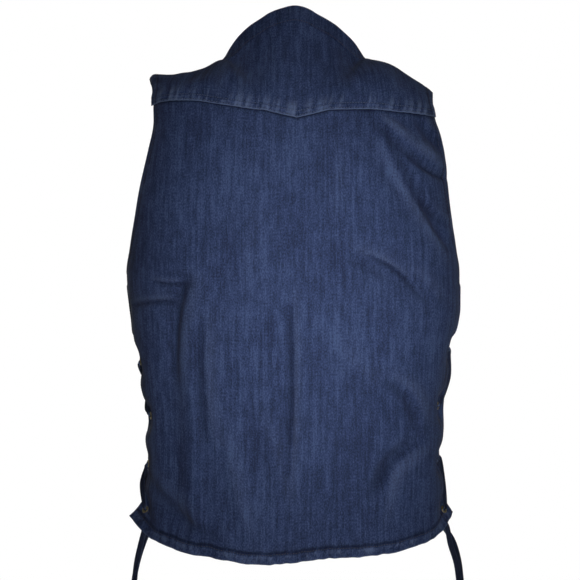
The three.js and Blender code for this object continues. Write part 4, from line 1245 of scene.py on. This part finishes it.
def lace_piece(name, keys, tip=False):
    places, tangents = smooth_route([key[0] for key in keys], LACE_STEPS)
    rings = len(places)
    spot = np.minimum(np.arange(rings) / LACE_STEPS, len(keys) - 1 - 1e-9)
    i = np.floor(spot).astype(int)
    share = (spot - i)[:, None]
    faces = np.array([key[1] for key in keys])
    widths = np.array([key[2] for key in keys])
    face = mix(faces[i], faces[i + 1], share)
    face = unit(face - np.sum(face * tangents, axis=1, keepdims=True) * tangents)
    sideways = np.cross(tangents, face)
    wide = mix(widths[i], widths[i + 1], ease(share[:, 0]))
    thick = LACE_THICK * mix(BUNCHED_THICK, 1, ease((wide - LACE_BUNCHED) / (LACE_WIDE - LACE_BUNCHED)))
    if tip:
        wide[-3:] *= np.array(TIP_NARROWS)
    turn = np.linspace(0, 2 * math.pi, LACE_SIDES, endpoint=False)
    section_x, section_y = (
        np.sign(swing) * np.abs(swing) ** power / 2
        for swing, power in zip((np.cos(turn), np.sin(turn)), SQUARED))
    section_y *= 1 - MIDDLE_DIP * bell(section_x, 0.2)
    points = (places[:, None] + sideways[:, None] * (section_x * wide[:, None])[..., None]
              + face[:, None] * (section_y * thick[:, None])[..., None])
    around = np.concatenate([points, points[:, :1]], axis=1)
    length = running_length(places)
    across = np.tile(np.append(section_x, section_x[0]) * LACE_WIDE, (rings, 1))
    piece, mesh = grid_piece(name, around, across, np.tile(length[:, None], (1, LACE_SIDES + 1)))
    mesh.materials.append(lace_weave)
    bpy.ops.object.mode_set(mode="EDIT")
    bpy.ops.mesh.select_all(action="SELECT")
    bpy.ops.mesh.remove_doubles(threshold=0.01 * MM)
    bpy.ops.mesh.select_all(action="DESELECT")
    bpy.ops.mesh.select_mode(type="EDGE")
    bpy.ops.mesh.select_non_manifold()
    bpy.ops.mesh.edge_face_add()
    bpy.ops.mesh.select_all(action="SELECT")
    bpy.ops.mesh.normals_make_consistent(inside=False)
    bpy.ops.object.mode_set(mode="OBJECT")
    bpy.ops.object.shade_smooth_by_angle(angle=math.radians(60))
    bpy.ops.object.select_all(action="DESELECT")
    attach(piece, "root")
    return piece, places, length[-1]


for side_name in SIDES:
    piece, places, length = lace_piece("lace_" + side_name + "_woven", lace_keys(side_name))
    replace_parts(piece, "lace_" + side_name)
    print(piece.name, round(length), "mm through the eyelets")

# %% [markdown]
# Two free ends hang from the lowest eyelets on each side, out from under the flared corners. They are limp
# and flat, so they hang in one slow curve, each along its route.

# %% Free lace ends
LACE_END_GAP = 0.8
end_routes = {
    "back": table("left right y z", [
        (179, 186, -31, -566),
        (184.5, 190.5, -27, -587),
        (189.5, 197.5, -24, -609),
        (192.2, 201, -22, -632),
        (193.5, 202.5, -20, -656),
        (192, 201, -19, -690),
    ]),
    "front": table("left right y z", [
        (175, 184, 26, -567),
        (183, 197, 15, -588),
        (189.5, 203, 4, -609),
        (194, 205.5, -4, -632),
        (195.5, 206.5, -8, -656),
        (194.5, 205, -10, -686),
    ]),
}
END_FACE = np.array((0.35, -1, 0))
for side_name, side in SIDES.items():
    keys = lace_keys(side_name)
    for panel, last, before in (("back", keys[0], keys[1]), ("front", keys[-1], keys[-2])):
        away = unit(last[0] - before[0])
        face = unit(END_FACE * (side, 1, 1))
        route = [(last[0] + away * LACE_END_GAP, last[1], last[2])]
        rows = end_routes[panel]
        for x, y, z in zip(rows[side_name], rows["y"], rows["z"]):
            route.append((np.array((side * x, y, z)), face, LACE_WIDE))
        name = "lace_end_" + side_name + "_" + panel
        piece, places, length = lace_piece(name + "_woven", route, tip=True)
        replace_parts(piece, name)

# %% [markdown]
# An eyelet is pressed from brass sheet: a rolled ring outside, a short barrel through the hole and a washer
# behind. One is modelled from a flattened torus, a cylinder and a second torus, and copied to every place
# with its own mesh. The brass is dull and stained in patches.

# %% Brass
def brass_material():
    material, tree, shader = new_material("aged_brass", 0.34, 1.0)
    place = add_node(tree, "ShaderNodeTexCoord").outputs["Object"]
    stain = speckle(tree, place, 420.0, 4.0)
    colour = ramp(tree, stain, [
        (0.3, (0.16, 0.13, 0.065)), (0.52, (0.42, 0.35, 0.19)), (0.75, (0.74, 0.66, 0.44))])
    tree.links.new(colour, shader.inputs["Base Color"])
    rough = maths(tree, "ADD", maths(tree, "MULTIPLY", stain, 0.35), 0.16)
    tree.links.new(rough, shader.inputs["Roughness"])
    add_bump(tree, shader, speckle(tree, place, 2600.0, 2.0), 0.25, 0.0001)
    return material


aged_brass = brass_material()

# %% One eyelet
RING_MAJOR, RING_MINOR = 3.65, 1.1
RING_LIFT, RING_FLAT = 0.75, 0.62
WASHER_LIFT, WASHER_FLAT = 0.55, 0.4
BARREL_INWARD, BARREL_WALL = 0.75, 0.35


def brass_ring(z, height):
    bpy.ops.mesh.primitive_torus_add(major_radius=RING_MAJOR * MM, minor_radius=RING_MINOR * MM,
                                     major_segments=32, minor_segments=12, location=(0, 0, z * MM))
    ring = bpy.context.object
    ring.scale.z = height
    apply_place()
    return ring


def model_eyelet():
    outside = brass_ring(RING_LIFT, RING_FLAT)
    washer = brass_ring(-CAD_CLOTH - WASHER_LIFT, WASHER_FLAT)
    bpy.ops.mesh.primitive_cylinder_add(
        vertices=32, radius=(RING_MAJOR - BARREL_INWARD) * MM, depth=(CAD_CLOTH + 1.0) * MM,
        end_fill_type="NOTHING", location=(0, 0, -CAD_CLOTH / 2 * MM))
    barrel = bpy.context.object
    apply_place()
    finish_with(barrel, "SOLIDIFY", thickness=BARREL_WALL * MM, offset=0)
    for part in (outside, washer, barrel):
        part.select_set(True)
    bpy.context.view_layer.objects.active = outside
    bpy.ops.object.join()
    bpy.ops.object.shade_smooth_by_angle(angle=math.radians(40))
    bpy.ops.object.select_all(action="DESELECT")
    outside.data.materials.append(aged_brass)
    return outside


def frame_at(centre, normal):
    """A turn that stands +Z along the normal, as a 3x3 matrix, and the place in metres."""
    normal = np.array(normal)
    side = unit(np.cross((0, 0, 1.0), normal))
    return np.stack([side, np.cross(normal, side), normal], axis=1), np.array(centre) * MM


def copy_to(model, name, centre, normal):
    turn, place = frame_at(centre, normal)
    copy = model.copy()
    copy.data = model.data.copy()
    copy.name = copy.data.name = name
    bpy.context.collection.objects.link(copy)
    points = np.array([v.co for v in copy.data.vertices]) @ turn.T + place
    copy.data.vertices.foreach_set("co", points.astype(np.float32).ravel())
    copy.data.update()
    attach(copy, "root")
    return copy


eyelet_model = model_eyelet()
for (side_name, panel, row), (centre, normal) in eyelets.items():
    node = "eyelet_" + side_name + "_" + panel + "_" + str(row + 1)
    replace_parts(copy_to(eyelet_model, node + "_ring", centre, normal), node)
bpy.data.objects.remove(eyelet_model)

# %% [markdown]
# Plain domed snaps close the front. Each cap is a flat cylinder whose top is inset four times, down into a
# groove and up into a low dome, with its edges rounded by a bevel.

# %% Snaps
SNAP_RADIUS, SNAP_HEIGHT, SNAP_LIFT = 6.0, 2.0, 0.3
SNAP_TOP_Z, SNAP_PITCH, SNAP_COUNT = -268.0, 92.0, 4
SNAP_SPAN = (0.04, 5.0)
SNAP_ROUND, SNAP_ANGLE = 0.25, 35
SNAP_STEPS = ((1.3, -0.35), (0.5, 0.45), (1.6, 0.3), (1.4, 0.1))


def model_snap():
    bpy.ops.mesh.primitive_cylinder_add(vertices=40, radius=SNAP_RADIUS * MM, depth=SNAP_HEIGHT * MM,
                                        location=(0, 0, (SNAP_LIFT + SNAP_HEIGHT / 2) * MM))
    snap = bpy.context.object
    apply_place()
    bpy.ops.object.mode_set(mode="EDIT")
    bpy.ops.mesh.select_mode(type="FACE")
    bpy.ops.mesh.select_all(action="DESELECT")
    bpy.ops.object.mode_set(mode="OBJECT")
    for face in snap.data.polygons:
        face.select = face.normal.z > 0.9
    bpy.ops.object.mode_set(mode="EDIT")
    for inward, up in SNAP_STEPS:
        bpy.ops.mesh.inset(thickness=inward * MM, depth=up * MM)
    bpy.ops.object.mode_set(mode="OBJECT")
    finish_with(snap, "BEVEL", limit_method="ANGLE", angle_limit=math.radians(SNAP_ANGLE),
                width=SNAP_ROUND * MM, segments=2)
    bpy.ops.object.shade_smooth_by_angle(angle=math.radians(SNAP_ANGLE))
    bpy.ops.object.select_all(action="DESELECT")
    snap.data.materials.append(aged_brass)
    return snap


snap_model = model_snap()
for i in range(SNAP_COUNT):
    z = SNAP_TOP_Z - i * SNAP_PITCH

    def on_front(turn, rise):
        return cloth_point("front", np.float64(-math.pi + turn), z + rise, layer_of(-1, -math.pi))

    node = "snap_" + str(i + 1)
    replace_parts(copy_to(snap_model, node + "_cap", on_front(0, 0), normal_at(on_front, *SNAP_SPAN)), node)
bpy.data.objects.remove(snap_model)

# %% [markdown]
# Topstitching is what makes denim read as denim. One stitch is a small rounded bar of thread. Rows of them
# follow lines at a set distance from each edge, found on the finished panels.

# %% Thread
def thread_material(name, dark, light):
    material, tree, shader = new_material(name, 0.7)
    place = add_node(tree, "ShaderNodeTexCoord").outputs["Object"]
    grain = speckle(tree, place, 700.0, 3.0)
    tree.links.new(ramp(tree, grain, [(0.35, dark), (0.7, light)]), shader.inputs["Base Color"])
    add_bump(tree, shader, speckle(tree, place, 4200.0, 1.0), 0.5, 0.0002)
    return material


rust_thread = thread_material("rust_thread", (0.022, 0.019, 0.026), (0.05, 0.034, 0.038))
blue_thread = thread_material("blue_thread", (0.03, 0.045, 0.085), (0.085, 0.115, 0.18))

# %% One stitch, and rows of stitches
STITCH_LONG, STITCH_THICK, STITCH_LIFT = 2.7, 0.55, 0.1
STITCH_PITCH = 3.3
ARM_LINE_Z, SLIT_LINE_Z, FACING_LINE_Z = -258, -340, -268


def model_stitch():
    bpy.ops.mesh.primitive_uv_sphere_add(segments=6, ring_count=4, radius=0.5 * MM)
    stitch = bpy.context.object
    bpy.ops.object.mode_set(mode="EDIT")
    bpy.ops.mesh.select_all(action="SELECT")
    bpy.ops.transform.rotate(value=math.radians(90), orient_axis="Y", center_override=(0, 0, 0))
    bpy.ops.transform.resize(value=(STITCH_LONG, STITCH_THICK, STITCH_THICK * 0.8), center_override=(0, 0, 0))
    bpy.ops.object.mode_set(mode="OBJECT")
    return stitch


def line_along(places, normals, distance, at, columns):
    """For each column, the place and normal where the distance from its start reaches a value."""
    found = []
    for j in columns:
        values = distance[:, j]
        order = np.argsort(values)
        spot = np.interp(at, values[order], order.astype(float))
        low = min(int(spot), len(distance) - 2)
        share = spot - low
        found.append([mix(grid[low, j], grid[low + 1, j], share) for grid in (places, normals)])
    return found


def line_across(panel, distance, at):
    """A line at a distance from the bottom or top edge."""
    return line_along(finished_places(panel), panel["normals"], distance, at, range(distance.shape[1]))


def line_up(panel, distance, at, keep):
    """A line at a distance from the first or last column, on the rows where keep is true."""
    turned = [grid.swapaxes(0, 1) for grid in (finished_places(panel), panel["normals"])]
    return line_along(*turned, distance.T, at, np.flatnonzero(keep))


stitch_rows = {"rust": [], "blue": []}


def sew(colour, line):
    places = np.array([place for place, _ in line])
    normals = unit(np.array([normal for _, normal in line]))
    run = running_length(places)
    spots = np.arange(STITCH_PITCH / 2, run[-1], STITCH_PITCH)

    def at(spots, values):
        return np.stack([np.interp(spots, run, values[:, k]) for k in range(3)], axis=1)

    out = unit(at(spots, normals))
    along = at(spots + 1, places) - at(spots - 1, places)
    along = unit(along - np.sum(along * out, axis=1, keepdims=True) * out)
    stitch_rows[colour].append((at(spots, places) + out * STITCH_LIFT, along, out))


edge_z = back["places"][:, 0, 2]
sew("rust", line_across(back, back["from_bottom"], HEM_STITCH))
for distance in (back["from_first"], back["from_last"]):
    sew("rust", line_up(back, distance, ARM_STITCH, (edge_z > ARM_LINE_Z) & (back["up"][:, 0] < 0.995)))
    sew("rust", line_up(back, distance, EDGE_STITCH, edge_z < SLIT_LINE_Z))
    sew("rust", line_up(back, distance, FACING_WIDE, edge_z < FACING_LINE_Z))
for line in YOKE_STITCHES:
    sew("blue", line_across(yoke, yoke["from_bottom"], line))
for distance in (yoke["from_first"], yoke["from_last"]):
    sew("rust", line_up(yoke, distance, ARM_STITCH, yoke["up"][:, 0] > 0.02))
shoulder_columns = np.abs(yoke["across"][0]) > NECK_SHARE + 0.02
for side in (-1, 1):
    picked = [k for k in np.flatnonzero(shoulder_columns) if side * yoke["across"][0, k] > 0]
    whole = line_across(yoke, yoke["from_top"], EDGE_STITCH)
    sew("blue", [whole[k] for k in picked])
for side_name in SIDES:
    front = panels["front_" + side_name]
    edge_z = front["places"][:, 0, 2]
    body_rows = front["up"][:, 0] < 2
    sew("rust", line_across(front, front["from_bottom"], HEM_STITCH))
    for edge, at, keep in (
            ("from_last", EDGE_STITCH, body_rows),
            ("from_last", PLACKET_STITCH, body_rows),
            ("from_first", ARM_STITCH, body_rows & (edge_z > ARM_LINE_Z)),
            ("from_first", EDGE_STITCH, edge_z < SEAM_TOP_Z),
            ("from_first", FACING_WIDE, edge_z < SLIT_LINE_Z),
            ("from_first", YOKE_STITCHES[1], (edge_z < SEAM_TOP_Z) & (edge_z > SEAM_FOOT_Z))):
        sew("rust", line_up(front, front[edge], at, keep))
for at in (band["from_bottom"], band["from_top"]):
    sew("rust", line_across(band, at, EDGE_STITCH))

stitch_model = model_stitch()
shape = np.array([v.co for v in stitch_model.data.vertices])
shape_faces = [tuple(face.vertices) for face in stitch_model.data.polygons]
for colour, material in (("rust", rust_thread), ("blue", blue_thread)):
    centres, along, out = (np.concatenate([row[k] for row in stitch_rows[colour]]) for k in range(3))
    across = np.cross(out, along)
    points = (centres[:, None] * MM + shape[None, :, :1] * along[:, None]
              + shape[None, :, 1:2] * across[:, None] + shape[None, :, 2:] * out[:, None])
    faces = [tuple(v + k * len(shape) for v in face) for k in range(len(centres)) for face in shape_faces]
    mesh = bpy.data.meshes.new("stitches_" + colour)
    mesh.from_pydata(points.reshape(-1, 3).tolist(), [], faces)
    mesh.materials.append(material)
    mesh.shade_smooth()
    stitches = bpy.data.objects.new("stitches_" + colour, mesh)
    bpy.context.collection.objects.link(stitches)
    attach(stitches, "root")
    print(stitches.name, len(centres), "stitches")
bpy.data.objects.remove(stitch_model)

# %% [markdown]


# %% [markdown]
# The studio is plain: a pale round floor below the vest, which thins out into a white room, and soft round
# lights. The floor glows a little when it is looked at, so that it stays as pale as the room. The two main
# lights stand near the camera, one above the other, and their beams are narrowed as by a honeycomb grid, so
# that the cloth is brightest in the middle and falls off round the sides.

# %% Pale floor
FLOOR_Z, FLOOR_RADIUS, FLOOR_SOLID, FLOOR_GLOW = -0.95, 2.3, 0.7, 0.75
bpy.ops.mesh.primitive_circle_add(
    vertices=96, radius=FLOOR_RADIUS, fill_type="NGON", location=(0, 0, FLOOR_Z))
floor = bpy.context.object
floor.name = "floor"
apply_place()
pale_paper, paper_tree, paper_shader = new_material("pale_paper", 0.95)
paper_shader.inputs["Base Color"].default_value = (0.9, 0.9, 0.9, 1)
paper_shader.inputs["Specular IOR Level"].default_value = 0.0
place = add_node(paper_tree, "ShaderNodeTexCoord").outputs["Object"]
parts = add_node(paper_tree, "ShaderNodeSeparateXYZ", Vector=place)
from_axis = add_node(paper_tree, "ShaderNodeCombineXYZ", X=parts.outputs[0], Y=parts.outputs[1])
radius = add_node(paper_tree, "ShaderNodeVectorMath", {"operation": "LENGTH"}, n0=from_axis.outputs[0])
solid = add_node(paper_tree, "ShaderNodeMapRange", {"interpolation_type": "SMOOTHSTEP"},
                 Value=radius.outputs["Value"], n1=FLOOR_SOLID, n2=FLOOR_RADIUS * 0.97, n3=1.0, n4=0.0)
paper_tree.links.new(solid.outputs[0], paper_shader.inputs["Alpha"])
looked_at = add_node(paper_tree, "ShaderNodeLightPath").outputs["Is Camera Ray"]
glow = maths(paper_tree, "MULTIPLY", looked_at, FLOOR_GLOW)
paper_tree.links.new(glow, paper_shader.inputs["Emission Strength"])
paper_shader.inputs["Emission Color"].default_value = (1, 1, 1, 1)
floor.data.materials.append(pale_paper)
bpy.ops.object.select_all(action="DESELECT")

# %% Lights
MIDDLE = (0, 0, -0.28)


def soft_light(name, place, target, size, power, spread=180):
    bpy.ops.object.light_add(type="AREA", location=place)
    light = bpy.context.object
    light.name = name
    light.data.shape = "DISK"
    light.data.size = size
    light.data.energy = power
    light.data.spread = math.radians(spread)
    x, y, z = np.array(target) - np.array(place)
    light.rotation_euler = (math.acos(-z / math.hypot(x, y, z)), 0, math.atan2(-x, y))


soft_light("upper_key", (0.42, -2.8, -0.25), (0.006, 0, -0.155), 0.4, 0.49, spread=14.2)
soft_light("lower_key", (0.42, -2.8, -0.5), (0.006, 0, -0.43), 0.4, 0.49, spread=14.2)
soft_light("fill", (0.25, -2.6, -0.3), MIDDLE, 1.6, 2.5)
soft_light("front_light", (-0.6, 2.2, 0.1), MIDDLE, 1.2, 20)
studio = bpy.data.worlds.new("studio")
bpy.context.scene.world = studio
studio.use_nodes = True
ROOM_SEEN, ROOM_LIGHT = 1.0, 0.1
room = studio.node_tree.nodes["Background"]
room.inputs["Color"].default_value = (1, 1, 1, 1)
ray = add_node(studio.node_tree, "ShaderNodeLightPath").outputs["Is Camera Ray"]
seen = maths(studio.node_tree, "MULTIPLY", ray, ROOM_SEEN - ROOM_LIGHT)
studio.node_tree.links.new(maths(studio.node_tree, "ADD", seen, ROOM_LIGHT), room.inputs["Strength"])
bpy.context.scene.view_settings.view_transform = "Standard"
